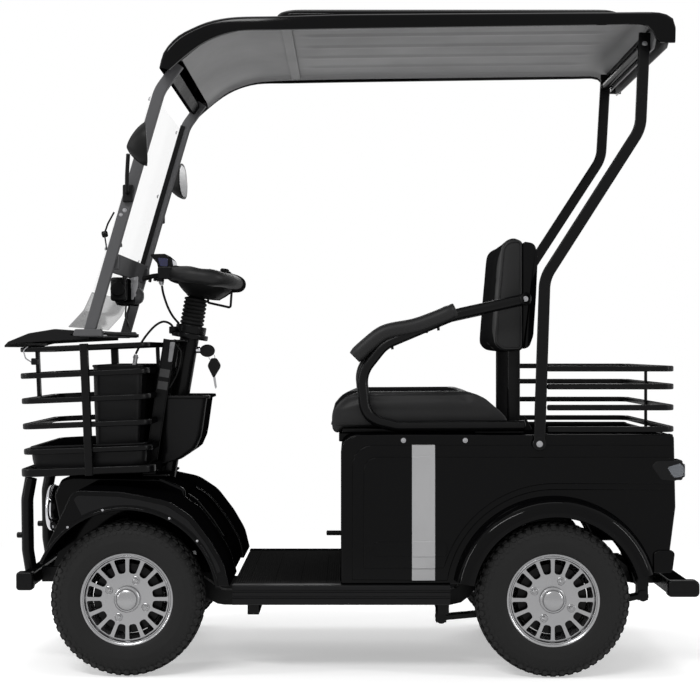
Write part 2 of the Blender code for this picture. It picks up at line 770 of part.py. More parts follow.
def levers():
    """A hand lever whose clamp grips the front of the loop, and its cable down to the boot."""
    y = LEVER_Y
    clamp = block("brake_lever", (-0.530, y - 0.014, 1.046), (-0.486, y + 0.014, 1.082), BLACK_STEEL,
        bevel=0.003)
    blade = pipe("blade", [(-0.520, y, 1.058), (-0.555, y + 0.010, 1.053), (-0.575, y + 0.040, 1.049)],
        0.005)
    adjuster = rod("adjuster", (-0.522, y, 1.050), (-0.519, y, 1.030), 0.006, sides=10)
    lever = join("brake_lever", clamp, blade, adjuster)
    grip = as_mesh(turned(grip_loop("grip", GRIP_RADIUS + SEAT_GAP), about(HEAD_CENTRE, "Y", HEAD_PITCH)))
    smooth(cut(lever, grip), 30)
    path = [(-0.5188, y, 1.0294 - SEAT_GAP), (-0.5150, y + 0.004, 1.005), (-0.5060, y + 0.030, 0.970),
        (-0.4960, y + 0.062, 0.945),
            (-0.4840, y + 0.094, 0.9270)]
    smooth(pipe("brake_cable", path, 0.0032, MATT_BLACK, resolution=1))


# Chassis and running gear


def crossbar(name, x, z, reach, wide=0.030, high=0.028):
    return block(name, (x - wide / 2, -reach, z - high / 2), (x + wide / 2, reach, z + high / 2))


def chassis():
    corners = [(x, z, 0.05) for x, z in RAIL_LINE]
    pieces = []
    for side_name, side in SIDES:
        y = side * RAIL_HALF
        outline = ribbon(corners, RAIL_HEIGHT, segments=2)
        pieces.append(plate(f"rail_{side_name}", outline, y - RAIL_WIDTH / 2, y + RAIL_WIDTH / 2, "Y",
            BLACK_STEEL))
    inner, outer = RAIL_HALF, FLOOR_HALF - 0.040
    for i, (x, z, reach) in enumerate((
        (-0.800, RAIL_FRONT_Z, inner), (-0.700, RAIL_FRONT_Z, inner), (-0.255, RAIL_FLOOR_Z, outer),
        (0.050, RAIL_FLOOR_Z, inner), (SPRING_FRONT[0], RAIL_FLOOR_Z, outer), (0.640, RAIL_REAR_Z, inner),
        (SPRING_REAR[0], RAIL_END_Z, SPRING_HALF + 0.018),
    )):
        pieces.append(crossbar(f"cross{i}", x, z, reach))
    # a portal over the front axle, whose collar holds the column
    portal_x, portal_z = on_column(0.385).x - 0.040, 0.385
    for side in (-1, 1):
        legs = sorted((side * (RAIL_HALF - 0.010), side * (RAIL_HALF + 0.010)))
        pieces.append(block(f"leg{side}", (portal_x - 0.014, legs[0], RAIL_FRONT_Z),
            (portal_x + 0.014, legs[1], portal_z)))
    pieces.append(crossbar("portal", portal_x, portal_z, RAIL_HALF + 0.010, 0.028, 0.030))
    collar = rod("collar", on_column(portal_z - 0.018), on_column(portal_z + 0.018), COLUMN_RADIUS + 0.012,
        sides=24)
    frame = join("chassis_frame", *pieces, collar)
    bore = rod("bore", on_column(portal_z - 0.05), on_column(portal_z + 0.05), COLUMN_RADIUS + SEAT_GAP,
        sides=24)
    frame = cut(frame, bore)
    smooth(frame, 30)


def front_axle():
    """A beam under the rails, with a bored boss for each kingpin."""
    x = FRONT_AXLE_X
    beam_top = RAIL_FRONT_Z - RAIL_HEIGHT / 2 - SEAT_GAP
    boss_half = 0.028 - PIN_GAP
    pieces = [block("front_axle", (x - 0.015, -KINGPIN_HALF + 0.010, beam_top - 0.032),
                    (x + 0.015, KINGPIN_HALF - 0.010, beam_top), BLACK_STEEL)]
    bores = []
    for side in (-1, 1):
        y = side * KINGPIN_HALF
        pieces.append(rod(f"boss{side}", (x, y, AXLE_Z - boss_half), (x, y, AXLE_Z + boss_half), 0.0165,
            sides=20))
        bores.append(rod(f"bore{side}", (x, y, AXLE_Z - 0.1), (x, y, AXLE_Z + 0.1),
            KINGPIN_RADIUS + PIN_GAP * 0.75, sides=14))
    smooth(cut(join("front_axle", *pieces), *bores), 30)


def rear_axle():
    """The tube with its gear case, leaf springs under it and the shaft ends in the hubs."""
    x = REAR_AXLE_X
    end = REAR_TRACK_HALF + 0.014
    smooth(join(
        "rear_axle",
        rod("rear_axle", (x, -0.250, AXLE_Z), (x, 0.250, AXLE_Z), 0.028, BLACK_STEEL, sides=20),
        rod("shaft", (x, -end, AXLE_Z), (x, end, AXLE_Z), 0.014, sides=16),
        rod("gear_case", (x, -0.045, AXLE_Z), (x, 0.055, AXLE_Z), 0.075, sides=24),
    ), 30)
    motor_z = AXLE_Z + 0.012
    smooth(rod("drive_motor", (x - 0.195, 0.005, motor_z), (x - 0.075 - SEAT_GAP, 0.005, motor_z), 0.052,
        ALLOY, sides=24), 30)
    for side_name, side in SIDES:
        y = side * SPRING_HALF
        line = [(x_at, z, 0.03) for x_at, z in SPRING_LINE]
        leaf = plate(f"leaf_spring_{side_name}", ribbon(line, 0.012, segments=3), y - 0.020, y + 0.020, "Y",
            BLACK_STEEL)
        saddle = block("saddle", (x - 0.030, y - 0.019, SPRING_MIDDLE - 0.004),
            (x + 0.030, y + 0.019, AXLE_Z - 0.010))
        gripped = rod("axle_bore", (x, y - 0.1, AXLE_Z), (x, y + 0.1, AXLE_Z), 0.028 + SEAT_GAP, sides=20)
        saddle = cut(saddle, gripped)
        pieces = [leaf, saddle]
        for end_x, end_z, top_z in (SPRING_FRONT, SPRING_REAR):
            pieces.append(block(f"hanger{end_x}", (end_x - 0.014, y - 0.016, end_z - 0.012),
                (end_x + 0.014, y + 0.016, top_z)))
            pieces.append(rod(f"eye{end_x}", (end_x, y - 0.020, end_z), (end_x, y + 0.020, end_z), 0.015,
                sides=14))
        smooth(join(f"leaf_spring_{side_name}", *pieces), 30)


def floor():
    """The footboard, its mat and the bar along each side."""
    board_low = RAIL_FLOOR_Z + RAIL_HEIGHT / 2 + SEAT_GAP
    board_top = FLOOR_TOP - MAT_THICK
    block("floor_board", (FLOOR_FRONT_X, -FLOOR_HALF + 0.034, board_low),
        (FLOOR_REAR_X, FLOOR_HALF - 0.034, board_top), BLACK_STEEL)
    mat_end = REAR_FRONT_X - 0.003
    mat = block("floor_mat", (FLOOR_FRONT_X, -FLOOR_HALF + 0.034, board_top + SEAT_GAP),
        (mat_end, FLOOR_HALF - 0.034, FLOOR_TOP), RUBBER)
    for side_name, side in SIDES:
        inner, outer = FLOOR_HALF - 0.034 + SEAT_GAP, FLOOR_HALF
        face = side * outer
        sill_top = FLOOR_TOP + 0.002
        profile = [
            (side * inner, sill_top - SILL_HEIGHT), (face, sill_top - SILL_HEIGHT),
            (face, sill_top - 0.036),
            (face - side * 0.003, sill_top - 0.034), (face - side * 0.003, sill_top - 0.030),
            (face, sill_top - 0.028),
            (face, sill_top - 0.020), (face - side * 0.003, sill_top - 0.018),
            (face - side * 0.003, sill_top - 0.014),
            (face, sill_top - 0.012), (face, sill_top - 0.003), (face - side * 0.003, sill_top),
            (side * inner, sill_top),
        ]
        plate(f"sill_{side_name}", profile, FLOOR_FRONT_X, FLOOR_REAR_X, "X", MATT_BLACK)


def battery():
    low = FLOOR_TOP - MAT_THICK + SEAT_GAP
    smooth(block("battery_pack", (0.020, -0.185, low), (0.232, 0.185, low + 0.215), MATT_BLACK,
        bevel=0.006), 30)


# Front body


def inset(points, centre, share):
    """The points drawn in towards a centre."""
    return [(centre[0] + (x - centre[0]) * share, centre[1] + (z - centre[1]) * share) for x, z in points]


def front_body():
    """One full-width moulding: fenders over both wheels, a hood between them and the panel down to the floor."""
    body = plate("front_fairing", [p for p in CREST], -FENDER_HALF, FENDER_HALF, "Y", GLOSS_BLACK)
    hood = plate("hood", [p for p in HOOD], -HOOD_HALF, HOOD_HALF, "Y")
    well = HOOD_HALF + BODY_WALL
    hollow = [(-0.900, 0.100), (-0.900, 0.340), (-0.770, 0.372), (-0.716, 0.470), (-0.600, 0.470),
        (-0.470, 0.445),
              (-0.420, 0.411), (-0.372, 0.350), (-0.336, 0.290), (-0.324, 0.235), (-0.324, 0.100)]
    tools = [plate("hollow", hollow, -HOOD_HALF + BODY_WALL, HOOD_HALF - BODY_WALL, "Y")]
    for side in (-1, 1):
        reach = sorted((side * HOOD_HALF, side * (FENDER_HALF + 0.02)))
        tools.append(rod(f"arch{side}", (FRONT_AXLE_X, reach[0], AXLE_Z), (FRONT_AXLE_X, reach[1], AXLE_Z),
            FRONT_ARCH, sides=44))
    tools.append(block("front_gap", (-0.900, -well, 0.100), (-0.610, well, 0.400)))
    tools.append(block("rod_gap", (-0.700, -well, 0.100), (-0.420, well, 0.300)))
    # the panel between the fenders stands back from them
    step = [(-0.4420, 0.485), (-0.4420, 0.4442 - LEG_PANEL + 0.012), (-0.420, 0.4285 - LEG_PANEL),
        (-0.371, 0.370 - LEG_PANEL),
            (-0.333, 0.308 - LEG_PANEL), (-0.3235, 0.262), (-0.3235, 0.200), (-0.200, 0.200),
            (-0.200, 0.485)]
    tools.append(plate("leg_recess", step, -0.128, 0.128, "Y"))
    tools.append(rod("column_hole", on_column(0.30), on_column(0.60), COLUMN_RADIUS + SEAT_GAP, sides=24))
    # the fenders' front edges lean outwards, clear of the hood's nose
    body = cut(join("front_fairing", body, hood), *tools)
    smooth(body, 32)


def headlamp():
    back = -0.7940
    x = LAMP_X
    ring = lathe("headlamp", (
        (0.0, x + 0.010), (0.045, x + 0.006), (LAMP_RADIUS - 0.008, x + 0.001),
        (LAMP_RADIUS - 0.004, x), (LAMP_RADIUS, x + 0.004),
        (LAMP_RADIUS, x + 0.014), (LAMP_RADIUS - 0.010, x + 0.022), (0.046, x + 0.050), (0.040, x + 0.056),
        (0.040, back), (0.0, back),
    ), (0, 0, LAMP_Z), LAMP, steps=32, axis="X")
    nose = plate("nose", [(px - SEAT_GAP, pz) for px, pz in HOOD], -HOOD_HALF, HOOD_HALF, "Y")
    smooth(cut(ring, nose), 35)


# Bumpers

def front_bumper():
    bar_x, bar_z = -0.8700, 0.232
    low, high = bar_z - 0.018, bar_z + 0.018
    front = RAIL_LINE[0][0] - SEAT_GAP
    pieces = [block("front_bumper", (front - 0.030, -0.232, low), (front, 0.232, high), BLACK_STEEL)]
    for side in (-1, 1):
        ends = sorted((side * 0.226, side * 0.256))
        cap = block(f"cap{side}", (front - 0.036, ends[0], low - 0.003),
            (front + 0.006, ends[1], high + 0.003), bevel=0.008, segments=1)
        tube = pipe(f"tube{side}", side_path(((-0.8660, 0.240), (-0.8880, 0.300, 0.08),
            (-0.8900, 0.440, 0.08), (-0.878, 0.4985)), side * 0.130, segments=3), 0.0165, resolution=2)
        peg = rod(f"peg{side}", (-0.912, side * 0.130, 0.341), (-0.884, side * 0.130, 0.341), 0.0085,
            sides=12)
        pieces += [cap, tube, peg]
    smooth(join("front_bumper", *pieces), 30)


def rear_bumper():
    low, high = 0.206, 0.244
    front = RAIL_LINE[-1][0] + SEAT_GAP
    pieces = [block("rear_bumper", (front, -0.306, low), (front + 0.056, 0.306, high), BLACK_STEEL,
        bevel=0.004)]
    for side in (-1, 1):
        ends = sorted((side * 0.298, side * 0.332))
        pieces.append(block(f"cap{side}", (front - 0.006, ends[0], low - 0.003),
            (front + 0.078, ends[1], high + 0.003), bevel=0.009, segments=1))
    smooth(join("rear_bumper", *pieces), 30)


# Front basket


def basket_ring(name, z, high, wide, swell=0.0, finish=None):
    """A flat bar bent into a closed hoop, wider at the rear."""
    front, rear = BASKET_FRONT_X - swell, BASKET_REAR_X + swell
    outer = fillet((
        (front, -BASKET_FRONT_HALF - swell, BASKET_CORNER),
        (rear, -BASKET_REAR_HALF - swell, BASKET_CORNER),
        (rear, BASKET_REAR_HALF + swell, BASKET_CORNER), (front, BASKET_FRONT_HALF + swell, BASKET_CORNER),
    ), segments=3)
    corner = max(BASKET_CORNER - wide, 0.004)
    inner = fillet((
        (front + wide, -BASKET_FRONT_HALF - swell + wide, corner),
        (rear - wide, -BASKET_REAR_HALF - swell + wide, corner),
        (rear - wide, BASKET_REAR_HALF + swell - wide, corner),
        (front + wide, BASKET_FRONT_HALF + swell - wide, corner),
    ), segments=3)
    return plate(name, outer, z - high / 2, z + high / 2, "Z", finish, holes=(inner,))


BASKET_TURN = about(BASKET_PIVOT, "Y", BASKET_PITCH)


def plate_slots():
    """Cutters that let the column and its side plates through the basket's rear."""
    reach = PLATE_THICK / 2 + SEAT_GAP
    return [
        block(f"slot{side}", (-0.600, side * PLATE_HALF - reach, 0.480),
            (-0.470, side * PLATE_HALF + reach, 0.920))
        for side in (-1, 1)
    ] + [rod("tube_notch", on_column(0.45), on_column(0.65), COLUMN_RADIUS + 0.0010, sides=24)]


def basket():
    """Hoops on two uprights over a base frame that stands on the hood."""
    pieces = [basket_ring("basket_frame", BASKET_TOP_Z, BAR_HIGH, BAR_WIDE, 0.0, BLACK_STEEL)]
    for i, z in enumerate(BASKET_HOOPS):
        pieces.append(basket_ring(f"hoop{i}", z, BAR_HIGH, BAR_WIDE * 0.45))
    pieces.append(basket_ring("base", BASKET_FLOOR_Z, BAR_HIGH, BAR_WIDE))
    low, high = BASKET_FLOOR_Z - 0.006, BASKET_TOP_Z + 0.006
    for side in (-1, 1):
        ends = sorted((side * (POST_HALF - 0.0105), side * (POST_HALF + 0.0105)))
        pieces.append(block(f"upright{side}", (POST_X - 0.0105, ends[0], low),
            (POST_X + 0.0105, ends[1], SCREEN_BASE_LOW - SEAT_GAP - 0.0005)))
        ends = sorted((side * 0.080, side * 0.105))
        pieces.append(block(f"floor_bar{side}", (BASKET_FRONT_X + 0.008, ends[0], low),
            (BASKET_REAR_X - 0.008, ends[1], low + 0.010)))
    pieces.append(block("front_strut", (BASKET_FRONT_X - 0.002, -0.011, BASKET_HOOPS[2] - 0.004),
        (BASKET_FRONT_X + 0.007, 0.011, high + 0.002)))
    pieces.append(block("rear_strut", (BASKET_REAR_X - 0.007, -0.011, low + 0.002),
        (BASKET_REAR_X + 0.002, 0.011, high + 0.002)))
    frame = as_mesh(turned(join("basket_frame", *pieces), BASKET_TURN))
    smooth(cut(frame, *plate_slots()), 30)

    tray = basket_tray()
    cowl = plate("basket_cowl", COWL, -0.248, 0.248, "Y", MATT_BLACK)
    smooth(cowl, 30)
    return tray


def rectangle(x_low, x_high, half_low, half_high, z, corner):
    """A level ring of points: a rounded shape as wide at its front as half_low and at its rear as half_high."""
    return [(x, y, z) for x, y in fillet((
        (x_low, -half_low, corner), (x_high, -half_high, corner), (x_high, half_high, corner),
        (x_low, half_low, corner),
    ), segments=4)]


def basket_tray():
    """The moulded tray inside the hoops, with the deep bin at its rear."""
    gap = 0.0115
    front, rear = BASKET_FRONT_X + gap, BASKET_REAR_X - gap
    front_half, rear_half = BASKET_FRONT_HALF - gap, BASKET_REAR_HALF - gap
    top = BASKET_HOOPS[0] + 0.010
    wall = 0.003

    def skin(name, shrink, floor_z, top_z):
        return loft(name, (
            rectangle(front + 0.030 + shrink, rear - 0.025 - shrink, front_half - 0.035 - shrink,
                rear_half - 0.035 - shrink, floor_z, 0.025),
            rectangle(front + 0.004 + shrink, rear - 0.004 - shrink, front_half - 0.004 - shrink,
            rear_half - 0.004 - shrink, top_z - 0.012, 0.030),
            rectangle(front + shrink, rear - shrink, front_half - shrink, rear_half - shrink, top_z, 0.030),
        ))

    outer = skin("tray", 0.0, TRAY_BOTTOM, top)
    hole = skin("tray_hole", wall, TRAY_BOTTOM + wall, top + 0.0005)
    tray = cut(outer, hole)
    bin_outer = loft("bin", (
        rectangle(BIN_FRONT_X + 0.012, BIN_REAR_X - 0.012, BIN_HALF - 0.012, BIN_HALF - 0.012,
            TRAY_BOTTOM + 0.001, 0.02),
        rectangle(BIN_FRONT_X, BIN_REAR_X, BIN_HALF, BIN_HALF, BIN_TOP, 0.02),
    ))
    bin_hole = loft("bin_hole", (
        rectangle(BIN_FRONT_X + 0.015, BIN_REAR_X - 0.015, BIN_HALF - 0.015, BIN_HALF - 0.015,
            TRAY_BOTTOM + 0.006, 0.018),
        rectangle(BIN_FRONT_X + 0.003, BIN_REAR_X - 0.003, BIN_HALF - 0.003, BIN_HALF - 0.003,
        BIN_TOP + 0.001, 0.018),
    ))
    tray = cut(join("basket_tray", tray, bin_outer), bin_hole)
    tray.data.materials.clear()
    tray.data.materials.append(MATT_BLACK)
    tray.name = "basket_tray"
    tray = as_mesh(turned(tray, BASKET_TURN))
    return smooth(cut(tray, *plate_slots()), 35)


# Column


def column():
    """The fixed tube round the stem, with a flange on top and two side plates down to the hood."""
    foot, top = on_column(COLUMN_FOOT_Z), on_column(COLUMN_Z)
    tube = rod("column_tube", foot, top, COLUMN_RADIUS, BLACK_STEEL, sides=24)
    flange = rod("flange", on_column(COLUMN_Z - 0.012), on_column(COLUMN_Z + 0.004), 0.050, sides=28)
    pieces = [tube, flange]
    line = ((-0.5560, 0.5060), (-0.4985, 0.884))
    for side in (-1, 1):
        y = sorted((side * (PLATE_HALF - PLATE_THICK / 2), side * (PLATE_HALF + PLATE_THICK / 2)))
        pieces.append(plate(f"side_plate{side}", ribbon(line, 0.034), *y, "Y"))
    pieces.append(block("top_plate", (-0.520, -PLATE_HALF - 0.001, 0.874),
        (-0.455, PLATE_HALF + 0.001, 0.880)))
    pieces.append(block("foot_plate", (-0.575, -PLATE_HALF - 0.012, 0.5015),
        (-0.500, PLATE_HALF + 0.012, 0.5075)))
    whole = join("column", *pieces)
    bore = rod("bore", on_column(COLUMN_FOOT_Z - 0.05), on_column(COLUMN_Z + 0.05), COLUMN_BORE, sides=24)
    smooth(cut(whole, bore), 30)


def column_bin():
    """The open storage bin behind the column."""
    half, wall = 0.105, 0.004
    outer = plate("column_bin", COLUMN_BIN, -half, half, "Y", GLOSS_BLACK)
    hole = plate("hole", inset(COLUMN_BIN, (-0.458, 0.675), 0.92) , -half + wall, half - wall, "Y")
    lift = block("open_top", (-0.512, -half + wall, 0.700), (-0.4045, half - wall, 0.780))
    lip = block("lip", (-0.4050, -half, 0.728), (-0.3900, half, 0.737))
    passage = rod("passage", on_column(0.40), on_column(0.85), COLUMN_RADIUS + SEAT_GAP, sides=24)
    stem = block("stem", (-0.5200, -0.030, 0.5085), (-0.4700, 0.030, 0.560))
    piece = join("column_bin", outer, lip, stem)
    piece = cut(piece, join("inside", hole, lift), passage)
    smooth(piece, 32)


def keys():
    """The lock in the column's rear, with its key, and a fob and a second key that hang from a ring."""
    z = 0.851
    face = on_column(z).x + COLUMN_RADIUS
    lock = rod("ignition_keys", (face + 0.0022, 0, z), (face + 0.010, 0, z), 0.010, BLACK_STEEL, sides=16)
    fob = ball("fob", (face + 0.026, 0, z - 0.001), (0.0165, 0.006, 0.0150), rings=6, sides=10)
    neck = block("neck", (face + 0.006, -0.003, z - 0.004), (face + 0.020, 0.003, z + 0.004))
    hang = pipe("ring", [(face + 0.037, 0, z - 0.006), (face + 0.040, 0, z - 0.018),
        (face + 0.0395, 0, z - 0.028)], 0.0014, resolution=1)
    leaf = ball("leaf", (face + 0.039, 0, z - 0.044), (0.0155, 0.005, 0.0205), rings=6, sides=10)
    blade = block("blade", (face + 0.038, -0.0015, z - 0.098), (face + 0.044, 0.0015, z - 0.055))
    smooth(join("ignition_keys", lock, fob, neck, hang, leaf, blade), 40)


# Windscreen and mirrors


def on_line(line, z):
    """Where a path of (x, z) reaches a height."""
    for (x0, z0), (x1, z1) in zip(line, line[1:]):
        if z <= z1:
            return x0 + (x1 - x0) * (z - z0) / (z1 - z0)
    return line[-1][0]


def windscreen():
    """Two flat posts with a base bar, a panel and a top rail between them, and a clear sheet ahead of them."""
    line = [(x, z, 0.10) for x, z in SCREEN_LINE]
    y = SCREEN_POST_HALF
    pieces = []
    for side in (-1, 1):
        ends = sorted((side * (y - SCREEN_POST_THICK / 2), side * (y + SCREEN_POST_THICK / 2)))
        pieces.append(plate(f"post{side}", ribbon(line, SCREEN_POST_WIDE, segments=3), *ends, "Y",
            GREY_PLASTIC))
    pieces.append(block("base_bar", (-0.716, -y, SCREEN_BASE_LOW), (-0.672, y, COWL_SEAT - SEAT_GAP)))
    panel = ribbon(((on_line(SCREEN_LINE, 1.060) + 0.004, 1.060),
        (on_line(SCREEN_LINE, 1.107) + 0.004, 1.107)), 0.012)
    pieces.append(plate("panel", panel, -y, y, "Y"))
    rail = ribbon(((on_line(SCREEN_LINE, 1.530) + 0.002, 1.530),
        (on_line(SCREEN_LINE, 1.562) + 0.002, 1.562)), 0.018)
    pieces.append(plate("rail", rail, -y, y, "Y"))
    x_mid = on_line(SCREEN_LINE, 1.030)
    pieces.append(block("wiper_motor", (x_mid - 0.005, -0.075, 0.975), (x_mid + 0.055, 0.010, 1.034),
        bevel=0.006))
    pieces.append(block("motor_bracket", (-0.6395, -0.055, 1.030), (-0.6335, -0.010, 1.068)))
    frame = join("windscreen_frame", *pieces)
    smooth(frame, 30)
    front = SCREEN_POST_WIDE / 2 + 0.0034
    sheet_line = (
        (-0.7800, 0.930, 0.0), (-0.7420, 0.962, 0.05),
        (-0.6770, 1.010, 0.10), (on_line(SCREEN_LINE, 1.100) - front, 1.100, 0.10),
        (on_line(SCREEN_LINE, 1.530) - front, 1.530),
    )
    sheet = plate("windscreen", ribbon(sheet_line, 0.003), -y - 0.006, y + 0.006, "Y", CLEAR)
    smooth(sheet, 30)
    pivot = (on_line(SCREEN_LINE, 1.139) - front - 0.0032, 1.150)
    hub = rod("wiper", (pivot[0] - 0.016, -0.060, pivot[1] - 0.004),
        (pivot[0] - SEAT_GAP, -0.060, pivot[1]), 0.010, MATT_BLACK)
    arm = pipe("arm", [(pivot[0] - 0.010, -0.060, pivot[1]), (pivot[0] + 0.006, -0.060, pivot[1] + 0.070),
        (pivot[0] + 0.028, -0.060, pivot[1] + 0.140)], 0.0035, resolution=1)
    blade = pipe("blade", [(pivot[0] + 0.016, -0.060, pivot[1] + 0.110),
        (pivot[0] + 0.050, -0.060, pivot[1] + 0.240)], 0.004, resolution=1)
    smooth(join("wiper", hub, arm, blade), 30)


def mirrors():
    for side_name, side in SIDES:
        z = 1.372
        y = side * 0.405
        shell = ball(f"mirror_{side_name}", (-0.540, y, z), (0.022, 0.048, 0.058), MATT_BLACK, rings=8,
            sides=12)
        x_post = on_line(SCREEN_LINE, 1.262)
        face = side * (SCREEN_POST_HALF + SCREEN_POST_THICK / 2 + SEAT_GAP)
        arm = pipe("arm", [(x_post, face + side * 0.010, 1.262), (x_post + 0.002, side * 0.345, 1.290),
            (-0.545, side * 0.385, 1.345)], 0.006)
        pad = sorted((face, face + side * 0.014))
        clamp = block("clamp", (x_post - 0.014, pad[0], 1.240), (x_post + 0.014, pad[1], 1.284),
            bevel=0.003)
        smooth(join(f"mirror_{side_name}", shell, arm, clamp), 40)


# Roof


def offset_line(line, distance):
    """An open path shifted to its right, as seen along it."""
    points = [Vector(p) for p in line]
    shifted = []
    for i, here in enumerate(points):
        before = (here - points[i - 1]).normalized() if i else None
        after = (points[i + 1] - here).normalized() if i < len(points) - 1 else None
        along = ((before or after) + (after or before)).normalized()
        shifted.append(tuple(here + Vector((along.y, -along.x)) * distance))
    return shifted


def roof():
    """A shell with a raised crown and side bands, over a grey lining with the rear panel."""
    body = plate("roof_shell", ROOF_TOP + ROOF_EDGE, -ROOF_HALF, ROOF_HALF, "Y", GLOSS_BLACK)
    crown = loft("crown", (
        rectangle(CROWN_FRONT_X, CROWN_REAR_X, CROWN_HALF, CROWN_HALF, CROWN_ROOT, 0.05),
        rectangle(CROWN_FRONT_X + 0.004, CROWN_REAR_X - 0.004, CROWN_HALF, CROWN_HALF, CROWN_TOP - 0.014,
        0.05),
        rectangle(CROWN_FRONT_X + 0.035, CROWN_REAR_X - 0.012, CROWN_HALF - 0.012, CROWN_HALF - 0.012,
        CROWN_TOP - 0.002, 0.05),
        rectangle(CROWN_FRONT_X + 0.060, CROWN_REAR_X - 0.040, CROWN_HALF - 0.040, CROWN_HALF - 0.040,
        CROWN_TOP, 0.05),
    ))
    inner_line = offset_line(ROOF_TOP, ROOF_THICK)
    hollow = plate("hollow", [(-0.60, 1.50),
        (inner_line[0][0] - 0.02, 1.50)] + inner_line[1:] + [(inner_line[-1][0], 1.50)],
                   -ROOF_HALF + ROOF_THICK, ROOF_HALF - ROOF_THICK, "Y")
    crown_hollow = loft("crown_hollow", (
        rectangle(CROWN_FRONT_X + 0.008, CROWN_REAR_X - 0.008, CROWN_HALF - 0.006, CROWN_HALF - 0.006,
            CROWN_ROOT - 0.010, 0.045),
        rectangle(CROWN_FRONT_X + 0.040, CROWN_REAR_X - 0.030, CROWN_HALF - 0.020, CROWN_HALF - 0.020,
        CROWN_TOP - 0.008, 0.045),
    ))
    shell = cut(join("roof_shell", body, crown), hollow, crown_hollow)
    smooth(shell, 30)

    liner_line = offset_line(ROOF_TOP, ROOF_THICK + SEAT_GAP + LINER_THICK / 2)[1:-1]
    half = ROOF_HALF - ROOF_THICK - 0.002
    liner = plate("roof_liner", ribbon(liner_line, LINER_THICK), -half, half, "Y", GREY_PLASTIC)
    pieces = [liner]
    valance = [(y, z) for y, z in ((-0.350, 1.7205), (-0.350, 1.668), (-0.318, 1.642), (0.318, 1.642),
        (0.350, 1.668), (0.350, 1.7205))]
    pieces.append(plate("valance", valance, VALANCE_X - 0.004, VALANCE_X, "X"))
    for y in RIBS:
        pieces.append(plate(f"rib{y}", ribbon(RIB_LINE, 0.016), y - 0.008, y + 0.008, "Y"))
    pieces.append(block("strap", (-0.181, -half, 1.695), (-0.153, half, 1.7090)))
    smooth(join("roof_liner", *pieces), 30)


# Roof posts


def roof_posts():
    """Flat tubes from the body's sides up to the roof, leaning in, with a cross tube between their tops."""
    foot_y, top_y = ROOF_POST_FOOT_HALF, ROOF_POST_TOP_HALF
    foot_z, top_z = REAR_POST[0][1], REAR_POST[-1][1]
    line = fillet([(x, z, 0.11) for x, z in REAR_POST], closed=False, segments=5)
    for side_name, side in SIDES:
        section = []
        for i, (x, z) in enumerate(line):
            ahead = Vector(line[min(i + 1, len(line) - 1)]) - Vector(line[max(i - 1, 0)])
            across = Vector((ahead.y, -ahead.x)).normalized() * (ROOF_POST_WIDE / 2)
            lean = (z - foot_z) / (top_z - foot_z)
            y = side * (foot_y + (top_y - foot_y) * lean)
            t = ROOF_POST_THICK / 2
            section.append([(x - across.x, y - t, z - across.y), (x + across.x, y - t, z + across.y),
                            (x + across.x, y + t, z + across.y), (x - across.x, y + t, z - across.y)])
        name = f"rear_post_{side_name}"
        post = loft(name, section, BLACK_STEEL)
        ear = sorted((side * (foot_y - ROOF_POST_THICK / 2), side * (foot_y + 0.003)))
        disc = rod("ear", (0.494, ear[0], 0.606), (0.494, ear[1], 0.606), 0.018, sides=20)
        bolt = rod("bolt", (0.494, side * foot_y, 0.606), (0.494, side * (foot_y + 0.010), 0.606), 0.008,
            sides=6)
        post = join(name, post, disc, bolt)
        smooth(post, 30)
    lean = (1.655 + 0.013 - foot_z) / (top_z - foot_z)
    tube_half = foot_y + (top_y - foot_y) * lean - ROOF_POST_THICK / 2 - SEAT_GAP
    smooth(rod("roof_cross_tube", (0.778, -tube_half, 1.655), (0.778, tube_half, 1.655), 0.013, BLACK_STEEL,
        sides=14), 30)


# Rear body


